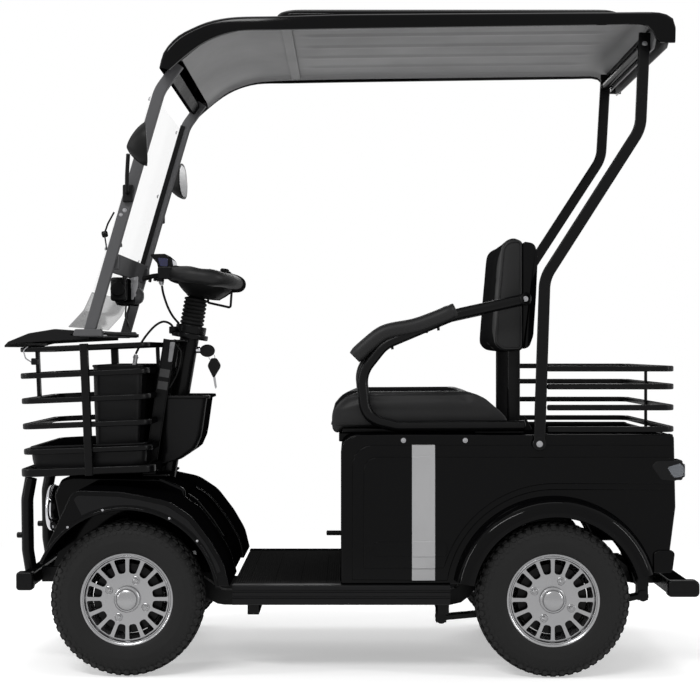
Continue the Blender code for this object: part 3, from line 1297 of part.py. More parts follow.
def rear_body():
    """The box under the seat with the open cargo box behind it, arches over the wheels and a flare round each."""
    arch_x = REAR_AXLE_X + REAR_ARCH_SHIFT
    outline = fillet((
        (REAR_FRONT_X, REAR_BOTTOM, 0.0), (REAR_FRONT_X, REAR_TOP, 0.045),
        (REAR_BACK_X - 0.004, REAR_TOP, 0.006),
        (REAR_BACK_X, 0.440, 0.03), (REAR_BACK_X - 0.022, 0.268, 0.012), (0.330, 0.268, 0.0),
        (0.300, REAR_BOTTOM, 0.0),
    ))
    body = plate("rear_body", outline, -REAR_HALF, REAR_HALF, "Y", GLOSS_BLACK)
    pieces, tools = [body], []
    inner_y = REAR_TRACK_HALF - TYRE_WIDTH / 2 - 0.018
    for side in (-1, 1):
        flare_y = sorted((side * (REAR_HALF - 0.030), side * FLARE_HALF))
        flare = lathe(f"flare{side}", (
            (REAR_ARCH - 0.012, side * (REAR_HALF - 0.030)), (FLARE_RADIUS, side * (REAR_HALF - 0.030)),
            (FLARE_RADIUS - 0.004, side * (REAR_HALF + 0.012)),
            (FLARE_RADIUS - 0.016, side * (FLARE_HALF - 0.012)),
            (REAR_ARCH + 0.022, side * FLARE_HALF), (REAR_ARCH - 0.012, side * FLARE_HALF),
        ), (arch_x, 0, AXLE_Z), steps=44)
        below = block(f"below{side}", (arch_x - 0.4, flare_y[0] - 0.01, -0.2),
            (arch_x + 0.4, flare_y[1] + 0.01, REAR_BOTTOM + 0.0015))
        behind = block(f"behind{side}", (arch_x + 0.10, flare_y[0] - 0.01, -0.2),
            (arch_x + 0.4, flare_y[1] + 0.01, 0.2695))
        pieces.append(cut(flare, below, behind))
        ends = sorted((side * inner_y, side * (FLARE_HALF + 0.02)))
        tools.append(rod(f"arch{side}", (arch_x, ends[0], AXLE_Z), (arch_x, ends[1], AXLE_Z), REAR_ARCH,
            sides=44))
        tools.append(lamp_shape(f"lamp_hole{side}", side, SEAT_GAP))
    wall = BODY_WALL
    seat_end = CARGO_FRONT_X - wall
    tools += [
        block("seat_hollow", (REAR_FRONT_X + wall, -inner_y + wall, 0.1),
            (seat_end, inner_y - wall, REAR_TOP - wall)),
        block("side_hollow", (REAR_FRONT_X + wall, -REAR_HALF + wall, 0.1),
        (0.245, REAR_HALF - wall, REAR_TOP - 0.030)),
        block("rear_hollow", (0.300, -inner_y + wall, 0.1),
            (REAR_BACK_X - 0.030, inner_y - wall, CARGO_FLOOR - wall)),
        block("cargo", (CARGO_FRONT_X, -CARGO_HALF, CARGO_FLOOR), (CARGO_BACK_X, CARGO_HALF, 0.8)),
    ]
    body = cut(join("rear_body", *pieces), *tools)
    smooth(body, 30)
    tail_lamps()


def lamp_shape(name, side, grow, finish=None):
    """A tail lamp, or its pocket: it wraps round the body's rear corner."""
    front, inner_x, back = LAMP_FRONT_X - grow, CARGO_BACK_X + 0.0045 - grow, 0.876 + grow
    outer, step, inner = REAR_HALF + 0.004 + grow, CARGO_HALF + 0.0045 - grow, LAMP_INNER - grow
    points = [(front, step), (front, outer), (back - 0.010, outer), (back, outer - 0.016), (back, inner),
        (inner_x, inner), (inner_x, step)]
    return plate(name, [(x, side * y) for x, y in points], LAMP_LOW - grow, LAMP_HIGH + grow, "Z", finish)


def tail_lamps():
    for side_name, side in SIDES:
        smooth(lamp_shape(f"tail_lamp_{side_name}", side, 0.0, LAMP), 30)


def rear_rack():
    """Four hoops, open at the front, on uprights round the cargo box."""
    pieces = []
    front = 0.520
    for i, z in enumerate(RACK_HOOPS):
        low, high = z - 0.006, z + 0.006
        wide = 0.010
        path = [(front, -RACK_HALF + wide / 2), (RACK_BACK_X - wide / 2, -RACK_HALF + wide / 2, 0.040),
                (RACK_BACK_X - wide / 2, RACK_HALF - wide / 2, 0.040), (front, RACK_HALF - wide / 2)]
        pieces.append(plate("rear_rack" if i == 0 else f"hoop{i}", ribbon(path, wide, segments=3), low,
            high, "Z", BLACK_STEEL))
    high = RACK_HOOPS[-1] + 0.008
    foot = REAR_TOP + SEAT_GAP
    for side in (-1, 1):
        ends = sorted((side * (RACK_HALF - 0.0085), side * (RACK_HALF + 0.0015)))
        pieces.append(block(f"front_upright{side}", (front - 0.002, ends[0], foot),
            (front + 0.014, ends[1], high)))
        pieces.append(block(f"side_upright{side}", (0.700, ends[0], foot), (0.712, ends[1], high)))
        pieces.append(block(f"rear_upright{side}", (RACK_BACK_X - 0.0085, side * 0.2 - 0.006, foot),
            (RACK_BACK_X + 0.0015, side * 0.2 + 0.006, high)))
    pieces.append(rod("middle_rod", (RACK_BACK_X - 0.005, 0, foot), (RACK_BACK_X - 0.005, 0, high + 0.004),
        0.004, sides=10))
    smooth(join("rear_rack", *pieces), 30)


# Seat


def seat():
    """The cushion on its pan, the back on two uprights, and the bent arm tubes with their pads."""
    cushion_low = SEAT_PAN_Z + 0.0085
    profile = fillet((
        (SEAT_FRONT_X + 0.006, cushion_low, 0.012), (SEAT_FRONT_X, 0.690, 0.03),
        (SEAT_FRONT_X + 0.060, 0.7400, 0.06),
        (0.200, SEAT_TOP + 0.002, 0.3), (0.330, SEAT_TOP - 0.004, 0.08), (SEAT_REAR_X - 0.005, 0.672, 0.02),
        (SEAT_REAR_X - 0.004, cushion_low, 0.010),
    ), segments=4)
    body = plate("seat_cushion", profile, -SEAT_HALF, SEAT_HALF, "Y", LEATHER)
    smooth(body, 40)
    back = plate("seat_back", fillet(BACK_LINE, segments=3), -BACK_HALF, BACK_HALF, "Y", LEATHER)
    slot_x, slot_y = UPRIGHT_WIDE / 2 + UPRIGHT_CLEAR, UPRIGHT_THICK / 2 + UPRIGHT_CLEAR
    back_low = BACK_LINE[-1][1] - 0.050
    slots = [
        block(f"slot{side}", (UPRIGHT_X - slot_x, side * UPRIGHT_HALF - slot_y, back_low),
              (UPRIGHT_X + slot_x, side * UPRIGHT_HALF + slot_y, UPRIGHT_TOP + SEAT_GAP))
        for side in (-1, 1)
    ]
    back = cut(back, *slots)
    smooth(back, 40)
    pan_low, pan_high = REAR_TOP + SEAT_GAP, cushion_low - SEAT_GAP
    pan_half = SEAT_HALF - PAN_INSET
    upright_back = UPRIGHT_X + UPRIGHT_WIDE / 2
    pieces = [block("seat_frame", (SEAT_FRONT_X + 0.030, -pan_half, pan_low),
        (upright_back - 0.002, pan_half, pan_high), BLACK_STEEL)]
    for side in (-1, 1):
        ends = (side * UPRIGHT_HALF - UPRIGHT_THICK / 2, side * UPRIGHT_HALF + UPRIGHT_THICK / 2)
        front = UPRIGHT_X - UPRIGHT_WIDE / 2
        pieces.append(block(f"upright{side}", (front, ends[0], pan_low + 0.001),
            (upright_back, ends[1], UPRIGHT_TOP)))
        wing = sorted((side * (pan_half - 0.005), side * (ARM_HALF + 0.004)))
        pieces.append(block(f"wing{side}", (0.330, wing[0], pan_low + 0.0005),
            (0.460, wing[1], pan_low + 0.0005 + WING_THICK)))
        path = side_path(ARM_LINE, side * ARM_HALF)
        pieces.append(pipe(f"arm{side}", path, ARM_TUBE, resolution=2))
        post = sorted((side * (BACK_HALF + SEAT_GAP), side * (ARM_HALF + 0.002)))
        bolt_x, bolt_z = ARM_LINE[-1][0] - 0.004, ARM_LINE[-1][1]
        pieces.append(rod(f"arm_bolt{side}", (bolt_x, post[0], bolt_z), (bolt_x, post[1], bolt_z),
            ARM_BOLT_RADIUS, sides=14))
    smooth(join("seat_frame", *pieces), 30)
    for side_name, side in SIDES:
        path = side_path(PAD_LINE, side * ARM_HALF, segments=5)
        pad = pipe(f"arm_pad_{side_name}", path, ARM_PAD_RADIUS, MATT_BLACK, resolution=2)
        bore = pipe("bore", side_path(ARM_LINE, side * ARM_HALF), ARM_TUBE + SEAT_GAP, resolution=2)
        pad = cut(pad, bore)
        smooth(pad, 40)


# Cable from the column over the basket's rear

def front_cable():
    foot = COLUMN_Z + 0.0117
    path = [(-0.4970, -0.028, foot), (-0.5070, -0.030, 0.9240), (-0.5280, -0.038, 0.9310),
        (-0.5520, -0.050, 0.9160),
            (-0.5800, -0.062, 0.8800), (-0.6000, -0.070, 0.8400), (-0.6030, -0.072, 0.8060)]
    cord = pipe("front_cable", path, 0.0032, MATT_BLACK, resolution=1)
    plug = rod("plug", (-0.6000, -0.070, 0.8350), (-0.6035, -0.0722, 0.8060), 0.0065, sides=8)
    smooth(join("front_cable", cord, plug), 40)


chassis()
front_axle()
rear_axle()
floor()
battery()
wheels()
for side_name, side in SIDES:
    knuckle(side_name, side)
tie_rod()
tiller()
front_body()
headlamp()
front_bumper()
rear_bumper()
basket()
column()
column_bin()
keys()
windscreen()
mirrors()
roof()
roof_posts()
rear_body()
rear_rack()
seat()
front_cable()

hang("tiller_axis", on_column(COLUMN_Z), "steering_stem", "bellows", "console", "display", "brake_lever",
    "brake_cable")
hang("tie_rod_axis", (FRONT_AXLE_X + STEER_ARM, -KINGPIN_HALF, TIE_ROD_Z), "tie_rod")
for side_name, side in SIDES:
    hang(f"kingpin_axis_{side_name}", (FRONT_AXLE_X, side * KINGPIN_HALF, AXLE_Z), f"knuckle_{side_name}")
    for end, axle_x, track in WHEEL_ENDS:
        parts = (f"{end}_tyre_{side_name}", f"{end}_rim_{side_name}")
        hang(f"{end}_wheel_axis_{side_name}", (axle_x, side * track, AXLE_Z), *parts)
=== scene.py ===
"""A black four-wheeled mobility scooter with a roof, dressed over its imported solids.

Metres, +Z up, front towards -X, the rider's left towards -Y.
"""

import math

import bmesh
import bpy
from mathutils import Matrix, Vector
from mathutils.bvhtree import BVHTree


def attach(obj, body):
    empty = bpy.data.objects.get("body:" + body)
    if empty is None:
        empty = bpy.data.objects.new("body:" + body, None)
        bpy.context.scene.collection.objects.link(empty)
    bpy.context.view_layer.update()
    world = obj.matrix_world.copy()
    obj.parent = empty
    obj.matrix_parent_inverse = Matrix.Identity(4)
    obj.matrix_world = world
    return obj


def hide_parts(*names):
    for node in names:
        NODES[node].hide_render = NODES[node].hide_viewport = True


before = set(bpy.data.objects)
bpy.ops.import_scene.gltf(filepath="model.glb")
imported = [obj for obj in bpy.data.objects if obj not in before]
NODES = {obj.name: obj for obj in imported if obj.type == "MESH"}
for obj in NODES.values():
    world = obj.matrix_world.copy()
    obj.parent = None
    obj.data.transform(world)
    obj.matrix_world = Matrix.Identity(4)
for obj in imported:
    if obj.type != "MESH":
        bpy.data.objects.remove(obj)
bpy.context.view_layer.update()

# Stage

EYE_DISTANCE = 4.05
EYE_HEIGHT = 0.851
LIGHTING = 0.42
FLOOR_HALF = 30
FLOOR_Z = -0.0005

scene = bpy.context.scene
scene.view_settings.view_transform = "Standard"

camera_data = bpy.data.cameras.new("camera")
camera_data.lens = 73.1
camera_data.sensor_width = 36.0
camera = bpy.data.objects.new("camera", camera_data)
camera.location = (0.0, -EYE_DISTANCE, EYE_HEIGHT)
camera.rotation_euler = (math.radians(90), 0, 0)
scene.collection.objects.link(camera)
scene.camera = camera


def lamp(name, place, aim, size, power, size_y=None):
    data = bpy.data.lights.new(name, "AREA")
    data.shape = "RECTANGLE"
    data.size = size
    data.size_y = size_y or size
    data.energy = power
    made = bpy.data.objects.new(name, data)
    made.location = place
    made.rotation_euler = (Vector(aim) - Vector(place)).to_track_quat("-Z", "Y").to_euler()
    scene.collection.objects.link(made)


lamp("key", (-1.6, -3.2, 3.6), (0, 0, 0.7), 2.6, 84, size_y=0.34)
lamp("front_strip", (-4.2, -1.2, 1.8), (0, 0, 0.7), 0.14, 40, size_y=2.4)
lamp("rear_strip", (4.0, -1.6, 1.9), (0, 0, 0.7), 0.14, 40, size_y=2.4)
lamp("top", (0.0, 0.6, 4.6), (0, 0, 0.5), 3.0, 60)
lamp("back", (0.6, 4.0, 2.6), (0, 0, 0.8), 2.4, 60, size_y=1.2)


def node(tree, kind, **values):
    made = tree.nodes.new(kind)
    for name, value in values.items():
        if name.startswith("in_"):
            key = name[3:]
            made.inputs[int(key) if key.isdigit() else key.replace("_", " ")].default_value = value
        else:
            setattr(made, name, value)
    return made


def seen_directly(tree):
    """1 for rays from the camera, off a glossy surface or through a clear one."""
    path = node(tree, "ShaderNodeLightPath")
    total = node(tree, "ShaderNodeMath", operation="MAXIMUM")
    either = node(tree, "ShaderNodeMath", operation="MAXIMUM")
    tree.links.new(path.outputs["Is Camera Ray"], total.inputs[0])
    tree.links.new(path.outputs["Is Glossy Ray"], total.inputs[1])
    tree.links.new(total.outputs[0], either.inputs[0])
    tree.links.new(path.outputs["Is Transmission Ray"], either.inputs[1])
    return either.outputs[0]


world = bpy.data.worlds.new("studio")
scene.world = world
world.use_nodes = True
tree = world.node_tree
tree.nodes.clear()
shown = node(tree, "ShaderNodeBackground", in_Color=(1, 1, 1, 1), in_Strength=1.0)
lighting = node(tree, "ShaderNodeBackground", in_Color=(1, 1, 1, 1), in_Strength=LIGHTING)
pick = node(tree, "ShaderNodeMixShader")
tree.links.new(seen_directly(tree), pick.inputs[0])
tree.links.new(lighting.outputs[0], pick.inputs[1])
tree.links.new(shown.outputs[0], pick.inputs[2])
tree.links.new(pick.outputs[0], node(tree, "ShaderNodeOutputWorld").inputs[0])

floor_look = bpy.data.materials.new("floor")
floor_look.use_nodes = True
tree = floor_look.node_tree
tree.nodes.clear()
matt = node(tree, "ShaderNodeBsdfDiffuse", in_Color=(0.86, 0.86, 0.86, 1))
glow = node(tree, "ShaderNodeEmission", in_Strength=LIGHTING)
pale = node(tree, "ShaderNodeEmission", in_Strength=1.0)
lit = node(tree, "ShaderNodeAddShader")
fade = node(tree, "ShaderNodeMixShader")
pick = node(tree, "ShaderNodeMixShader")
place = node(tree, "ShaderNodeTexCoord")
reach = node(tree, "ShaderNodeVectorMath", operation="LENGTH")
edge = node(tree, "ShaderNodeMapRange", in_1=1.1, in_2=2.6)
tree.links.new(place.outputs["Object"], reach.inputs[0])
tree.links.new(reach.outputs["Value"], edge.inputs[0])
tree.links.new(edge.outputs[0], fade.inputs[0])
tree.links.new(matt.outputs[0], lit.inputs[0])
tree.links.new(glow.outputs[0], lit.inputs[1])
tree.links.new(lit.outputs[0], fade.inputs[1])
tree.links.new(pale.outputs[0], fade.inputs[2])
tree.links.new(seen_directly(tree), pick.inputs[0])
tree.links.new(matt.outputs[0], pick.inputs[1])
tree.links.new(fade.outputs[0], pick.inputs[2])
tree.links.new(pick.outputs[0], node(tree, "ShaderNodeOutputMaterial").inputs[0])
floor_mesh = bpy.data.meshes.new("floor")
corners = [(x * FLOOR_HALF, y * FLOOR_HALF, FLOOR_Z) for x, y in ((-1, -1), (1, -1), (1, 1), (-1, 1))]
floor_mesh.from_pydata(corners, [], [(0, 1, 2, 3)])
floor = bpy.data.objects.new("floor", floor_mesh)
floor_mesh.materials.append(floor_look)
scene.collection.objects.link(floor)


# Materials

def look(name, colour, rough, metallic=0.0, spec=0.5, tint=0.25, rough_range=0.08, patches=6.0,
         grain=None, cells=False, alpha=None, transmission=0.0):
    """A Principled material whose colour and roughness drift in patches, with a fine bump.

    grain is (scale, height in metres). cells makes it a pebbled grain, as on vinyl. A weak shine fades out
    where the surface is seen edge-on.
    """
    made = bpy.data.materials.new(name)
    made.use_nodes = True
    tree = made.node_tree
    shader = tree.nodes["Principled BSDF"]
    shader.inputs["Metallic"].default_value = metallic
    shader.inputs["Specular IOR Level"].default_value = spec
    if spec < 0.3 and not metallic:
        view = node(tree, "ShaderNodeLayerWeight", in_Blend=0.5)
        fade = node(tree, "ShaderNodeMapRange", in_1=0.5, in_2=0.84, in_3=spec, in_4=0.0)
        tree.links.new(view.outputs["Facing"], fade.inputs[0])
        tree.links.new(fade.outputs[0], shader.inputs["Specular IOR Level"])
    shader.inputs["Transmission Weight"].default_value = transmission
    if alpha is not None:
        shader.inputs["Alpha"].default_value = alpha
    place = node(tree, "ShaderNodeTexCoord")
    drift = node(tree, "ShaderNodeTexNoise", in_Scale=patches, in_Detail=4.0, in_Roughness=0.6)
    tree.links.new(place.outputs["Object"], drift.inputs["Vector"])
    mix = node(tree, "ShaderNodeMix", data_type="RGBA")
    mix.inputs["A"].default_value = (*colour, 1)
    mix.inputs["B"].default_value = (*(c * (1 + tint) for c in colour), 1)
    tree.links.new(drift.outputs["Fac"], mix.inputs["Factor"])
    tree.links.new(mix.outputs["Result"], shader.inputs["Base Color"])
    smoothest = max(0.02, rough - rough_range)
    wear = node(tree, "ShaderNodeMapRange", in_1=0.3, in_2=0.7, in_3=smoothest, in_4=rough + rough_range)
    tree.links.new(drift.outputs["Fac"], wear.inputs[0])
    tree.links.new(wear.outputs[0], shader.inputs["Roughness"])
    if grain:
        if cells:
            fine = node(tree, "ShaderNodeTexVoronoi", in_Scale=grain[0], feature="DISTANCE_TO_EDGE")
            out = fine.outputs["Distance"]
        else:
            fine = node(tree, "ShaderNodeTexNoise", in_Scale=grain[0], in_Detail=3.0)
            out = fine.outputs["Fac"]
        tree.links.new(place.outputs["Object"], fine.inputs["Vector"])
        bump = node(tree, "ShaderNodeBump", in_Strength=0.6, in_Distance=grain[1])
        tree.links.new(out, bump.inputs["Height"])
        tree.links.new(bump.outputs[0], shader.inputs["Normal"])
    return made


GLOSS = look("gloss_black", (0.0014, 0.0014, 0.0016), 0.07, spec=0.085, rough_range=0.03, grain=(90, 0.00003))
SATIN = look("satin_black", (0.0035, 0.0035, 0.0038), 0.4, spec=0.13, grain=(700, 0.00004))
MATT = look("matt_black", (0.0035, 0.0035, 0.0037), 0.5, spec=0.13, grain=(900, 0.00006))
STEEL = look("painted_steel", (0.003, 0.003, 0.0032), 0.27, spec=0.11, grain=(500, 0.00004))
POST = look("post_grey", (0.07, 0.07, 0.073), 0.42, spec=0.2, grain=(600, 0.00004))
LINER = look("liner_grey", (0.115, 0.115, 0.117), 0.5, spec=0.35, grain=(400, 0.00006), patches=3)
RUBBER = look("rubber", (0.008, 0.008, 0.008), 0.7, spec=0.15, grain=(600, 0.00008))
TYRE = look("tyre", (0.0085, 0.0085, 0.0085), 0.62, spec=0.15, tint=0.9, patches=14, grain=(500, 0.00012))
ALLOY = look("alloy", (0.27, 0.27, 0.275), 0.26, metallic=1.0, tint=0.15, rough_range=0.06,
             grain=(260, 0.00002))
CHROME = look("chrome", (0.5, 0.5, 0.52), 0.08, metallic=1.0, tint=0.05, rough_range=0.03)
MIRROR = look("mirror", (0.26, 0.26, 0.27), 0.2, spec=0.25, tint=0.05, rough_range=0.03)
VINYL = look("vinyl", (0.01, 0.01, 0.0103), 0.46, spec=0.2, grain=(420, 0.00005), cells=True)
THREAD = look("thread", (0.03, 0.03, 0.03), 0.7, grain=(1500, 0.0001))
MAT = look("floor_rubber", (0.011, 0.011, 0.011), 0.6, spec=0.18, grain=(800, 0.00012), patches=9)
STRAP = look("strap_grey", (0.32, 0.32, 0.325), 0.6, grain=(1200, 0.00008))
ZINC = look("zinc", (0.3, 0.3, 0.31), 0.32, metallic=1.0, grain=(300, 0.00004))
BAND = look("band_grey", (0.03, 0.03, 0.031), 0.35, spec=0.4, grain=(500, 0.00004))
GEAR = look("gear_grey", (0.17, 0.17, 0.175), 0.45, metallic=0.6, grain=(200, 0.00006))


SHEET = look("clear_sheet", (0.8, 0.82, 0.84), 0.05, spec=0.3, tint=0.02, rough_range=0.02, alpha=0.05)
LENS = look("lens", (0.85, 0.9, 0.98), 0.06, tint=0.02, rough_range=0.015, transmission=0.85, patches=3)
LENS.node_tree.nodes["Principled BSDF"].inputs["IOR"].default_value = 1.3

LOOKS = {
    "front_fairing": GLOSS, "rear_body": GLOSS, "roof_shell": GLOSS, "roof_liner": LINER,
    "windscreen_frame": POST, "windscreen": SHEET, "headlamp": LENS, "tail_lamp_left": LENS,
    "tail_lamp_right": LENS, "seat_cushion": VINYL, "seat_back": VINYL, "floor_mat": MAT, "bellows": RUBBER,
    "drive_motor": GEAR, "column_bin": GLOSS, "basket_tray": SATIN, "sill_left": SATIN, "sill_right": SATIN,
}
for name, made in NODES.items():
    finish = LOOKS.get(name, ALLOY if "_rim_" in name else TYRE if "_tyre_" in name else STEEL)
    if any(word in name for word in ("console", "display", "arm_pad", "mirror", "cowl", "wiper", "battery")):
        finish = MATT
    for slot in made.material_slots:
        slot.material = finish


# Shapes

SIDES = (("left", -1), ("right", 1))


def across(sign, near, far):
    """Two Y values of one side in rising order."""
    return sorted((sign * near, sign * far))


def placed(place, degrees, axis):
    """A turn about an axis, then a move to a place."""
    return Matrix.Translation(place) @ Matrix.Rotation(math.radians(degrees), 4, axis)


def squarish(angle, power):
    """A point of a squarish circle of radius 1: power 2 is round."""
    c, s = math.cos(angle), math.sin(angle)
    reach = (abs(c) ** power + abs(s) ** power) ** (-1 / power)
    return c * reach, s * reach


def turn_to(axis):
    """The turn that takes Z to an axis."""
    return Vector((0, 0, 1)).rotation_difference(Vector(axis)).to_matrix().to_4x4()


def bend(corners, closed=False, segments=6):
    """Points along straight runs, with an arc at each corner whose last number is a radius.

    A corner is (x, z, r), or (x, y, z, r) where any corner has four numbers.
    """
    size = 3 if max(map(len, corners)) > 3 else 2
    made = []
    count = len(corners)
    for i, corner in enumerate(corners):
        here = Vector(corner[:size]).to_3d()
        radius = corner[size] if len(corner) > size else 0.0
        if not radius or (not closed and i in (0, count - 1)):
            made.append(here)
            continue
        before = (Vector(corners[i - 1][:size]).to_3d() - here).normalized()
        after = (Vector(corners[(i + 1) % count][:size]).to_3d() - here).normalized()
        half = before.angle(after) / 2
        if half > math.radians(89):
            made.append(here)
            continue
        reach = radius / math.tan(half)
        centre = here + (before + after).normalized() * (radius / math.sin(half))
        first, last = here + before * reach - centre, here + after * reach - centre
        whole = first.angle(last)
        turn_axis = first.cross(last).normalized()
        for step in range(segments + 1):
            made.append(centre + Matrix.Rotation(whole * step / segments, 3, turn_axis) @ first)
    return made if size == 3 else [(p.x, p.y) for p in made]


def arc(centre, radius, start, end, steps):
    """Points of an arc in X and Z, its angles in degrees from +X towards +Z."""
    return [
        (centre[0] + radius * math.cos(math.radians(start + (end - start) * i / steps)),
         centre[1] + radius * math.sin(math.radians(start + (end - start) * i / steps)))
        for i in range(steps + 1)
    ]


def circle(radius, sides=16):
    angles = [2 * math.pi * i / sides for i in range(sides)]
    return [(radius * math.cos(a), radius * math.sin(a)) for a in angles]


def bar(wide, high, corner=0.002, segments=3):
    """The section of a flat bar with rounded edges."""
    w, h = wide / 2, high / 2
    return bend(((-w, -h, corner), (w, -h, corner), (w, h, corner), (-w, h, corner)), True, segments)


def oblong(x, half_x, half_y, corner, z, steps=6):
    """A level rounded rectangle of points about (x, 0)."""
    low, high = x - half_x, x + half_x
    rim = ((low, -half_y, corner), (high, -half_y, corner), (high, half_y, corner), (low, half_y, corner))
    return [Vector((px, py, z)) for px, py in bend(rim, True, steps)]


class Kit:
    """Gathers shapes into one mesh, which becomes one piece."""

    def __init__(self):
        self.bm = bmesh.new()

    def take(self, part, matrix=None):
        data = bpy.data.meshes.new("part")
        bmesh.ops.recalc_face_normals(part, faces=part.faces)
        part.to_mesh(data)
        part.free()
        if matrix is not None:
            data.transform(matrix)
            if matrix.determinant() < 0:
                data.flip_normals()
        self.bm.from_mesh(data)
        bpy.data.meshes.remove(data)
        return self

    def skin(self, rings, closed=False, caps=True, matrix=None):
        """A surface through rings of points with one count."""
        part = bmesh.new()
        rows = [[part.verts.new(p) for p in ring] for ring in rings]
        count = len(rows[0])
        pairs = list(zip(rows, rows[1:] + rows[:1])) if closed else list(zip(rows, rows[1:]))
        for near, far in pairs:
            for i in range(count):
                j = (i + 1) % count
                part.faces.new((near[i], near[j], far[j], far[i]))
        if caps and not closed:
            part.faces.new(rows[0][::-1])
            part.faces.new(rows[-1])
        bmesh.ops.remove_doubles(part, verts=part.verts, dist=0.000005)
        return self.take(part, matrix)

    def sweep(self, path, section, axis=None, closed=False, cap=0.0, sizes=None, matrix=None):
        """A section carried along a path. With an axis, its first direction stays on that axis."""
        path = [Vector(p) for p in path]
        count = len(path)
        rings = []
        carried = Vector(axis) if axis else None
        for i, here in enumerate(path):
            before = path[i - 1] if i or closed else here
            after = path[(i + 1) % count] if i < count - 1 or closed else here
            ahead = (after - before).normalized()
            if carried is None:
                carried = ahead.orthogonal()
            across = (carried - ahead * carried.dot(ahead)).normalized()
            if not axis:
                carried = across
            up = ahead.cross(across)
            share = sizes[i] if sizes else 1.0
            rings.append((here, ahead, across, up, share))
        if cap and not closed:
            for end, sign in ((0, -1), (-1, 1)):
                here, ahead, across, up, share = rings[end]
                extra = []
                for step in (1, 2, 3):
                    angle = math.radians(28 * step)
                    tip = here + ahead * sign * cap * math.sin(angle) * share
                    extra.append((tip, ahead, across, up, share * math.cos(angle)))
                rings = extra[::-1] + rings if sign < 0 else rings + extra
        made = [[here + across * u * share + up * v * share for u, v in section]
                for here, ahead, across, up, share in rings]
        return self.skin(made, closed, not closed, matrix)

    def tube(self, path, radius, sides=16, closed=False, cap=0.0, sizes=None, matrix=None):
        return self.sweep(path, circle(radius, sides), None, closed, cap, sizes, matrix)

    def rod(self, start, end, radius, sides=24, chamfer=0.0):
        """A round bar with chamfered ends."""
        start, end = Vector(start), Vector(end)
        way = (end - start).length
        c = chamfer
        profile = [(radius, 0), (radius, way)]
        if c:
            profile = [(radius - c, 0), (radius, c), (radius, way - c), (radius - c, way)]
        rings = [[(x, y, z) for x, y in circle(r, sides)] for r, z in profile]
        return self.skin(rings, matrix=Matrix.Translation(start) @ turn_to(end - start))

    def lathe(self, profile, centre, axis="Y", steps=64, start=0.0, end=360.0, matrix=None):
        """A closed profile of (radius, distance along the axis), turned from one angle to another."""
        whole = abs(end - start) > 359.9
        rings = []
        for i in range(steps if whole else steps + 1):
            angle = math.radians(start + (end - start) * i / steps)
            c, s = math.cos(angle), math.sin(angle)
            ring = []
            for r, along in profile:
                spots = {"X": (along, r * c, r * s), "Y": (r * c, along, r * s), "Z": (r * c, r * s, along)}
                ring.append(Vector(centre) + Vector(spots[axis]))
            rings.append(ring)
        return self.skin(rings, whole, not whole, matrix)

    def slab(self, outline, low, high, axis="Y", bevel=0.002, segments=3, matrix=None):
        """A flat outline with thickness: X and Z for axis Y, Y and Z for X, X and Y for Z."""
        part = bmesh.new()

        def set_at(a, b, c):
            return {"X": (c, a, b), "Y": (a, c, b), "Z": (a, b, c)}[axis]

        base = [part.verts.new(set_at(a, b, low)) for a, b in outline]
        part.faces.new(base)
        made = bmesh.ops.extrude_face_region(part, geom=part.faces[:])
        lifted = [v for v in made["geom"] if isinstance(v, bmesh.types.BMVert)]
        bmesh.ops.translate(part, vec=set_at(0, 0, high - low), verts=lifted)
        bmesh.ops.recalc_face_normals(part, faces=part.faces)
        if bevel:
            flat = [f for f in part.faces if len(f.verts) == len(outline)]
            rims = list({e for f in flat for e in f.edges})
            bmesh.ops.bevel(part, geom=rims, offset=bevel, segments=segments, affect="EDGES", profile=0.5,
                            clamp_overlap=True)
        return self.take(part, matrix)

    def wing(self, outline, sign, near, far, bevel=0.002, segments=3):
        """A slab on one side, between two distances from the middle."""
        return self.slab(outline, *across(sign, near, far), bevel=bevel, segments=segments)

    def box(self, low, high, bevel=0.002, segments=2, matrix=None):
        part = bmesh.new()
        bmesh.ops.create_cube(part, size=1.0)
        for vertex in part.verts:
            vertex.co = Vector(high[i] if vertex.co[i] > 0 else low[i] for i in range(3))
        if bevel:
            bmesh.ops.bevel(part, geom=part.edges[:], offset=bevel, segments=segments, affect="EDGES",
                            profile=0.5)
        return self.take(part, matrix)

    def block(self, sign, x, y, z, bevel=0.002, segments=2):
        """A box on one side, its Y as two distances from the middle."""
        near, far = across(sign, *y)
        return self.box((x[0], near, z[0]), (x[1], far, z[1]), bevel, segments)

    def ball(self, centre, radii, sides=24, rings=14):
        part = bmesh.new()
        bmesh.ops.create_uvsphere(part, u_segments=sides, v_segments=rings, radius=1.0)
        bmesh.ops.transform(part, matrix=Matrix.Translation(centre) @ Matrix.Diagonal((*radii, 1.0)),
                            verts=part.verts)
        return self.take(part)

    def bolt(self, place, axis, radius=0.007, high=0.004):
        """A washer with a domed hex head on it."""
        place, axis = Vector(place), Vector(axis).normalized()
        self.rod(place, place + axis * high * 0.3, radius * 1.35, 20, high * 0.08)
        self.rod(place, place + axis * high * 0.85, radius, 6, high * 0.1)
        self.rod(place, place + axis * high, radius * 0.62, 14, high * 0.12)
        return self

    def piece(self, name, finish, body="chassis", replaces=(), slot=None, angle=35, weighted=True,
              matrix=None):
        data = bpy.data.meshes.new(name)
        bmesh.ops.remove_doubles(self.bm, verts=self.bm.verts, dist=0.000004)
        self.bm.to_mesh(data)
        self.bm.free()
        if matrix is not None:
            data.transform(matrix)
            if matrix.determinant() < 0:
                data.flip_normals()
        data.materials.append(finish)
        made = bpy.data.objects.new(name, data)
        scene.collection.objects.link(made)
        data.shade_smooth()
        data.set_sharp_from_angle(angle=math.radians(angle))
        if weighted:
            made.modifiers.new("normals", "WEIGHTED_NORMAL").keep_sharp = True
        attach(made, body)
        if replaces:
            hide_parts(*replaces)
        return made


AXLE_Z = 0.2015


# Wheels, drawn about the origin with the outer face towards -Y

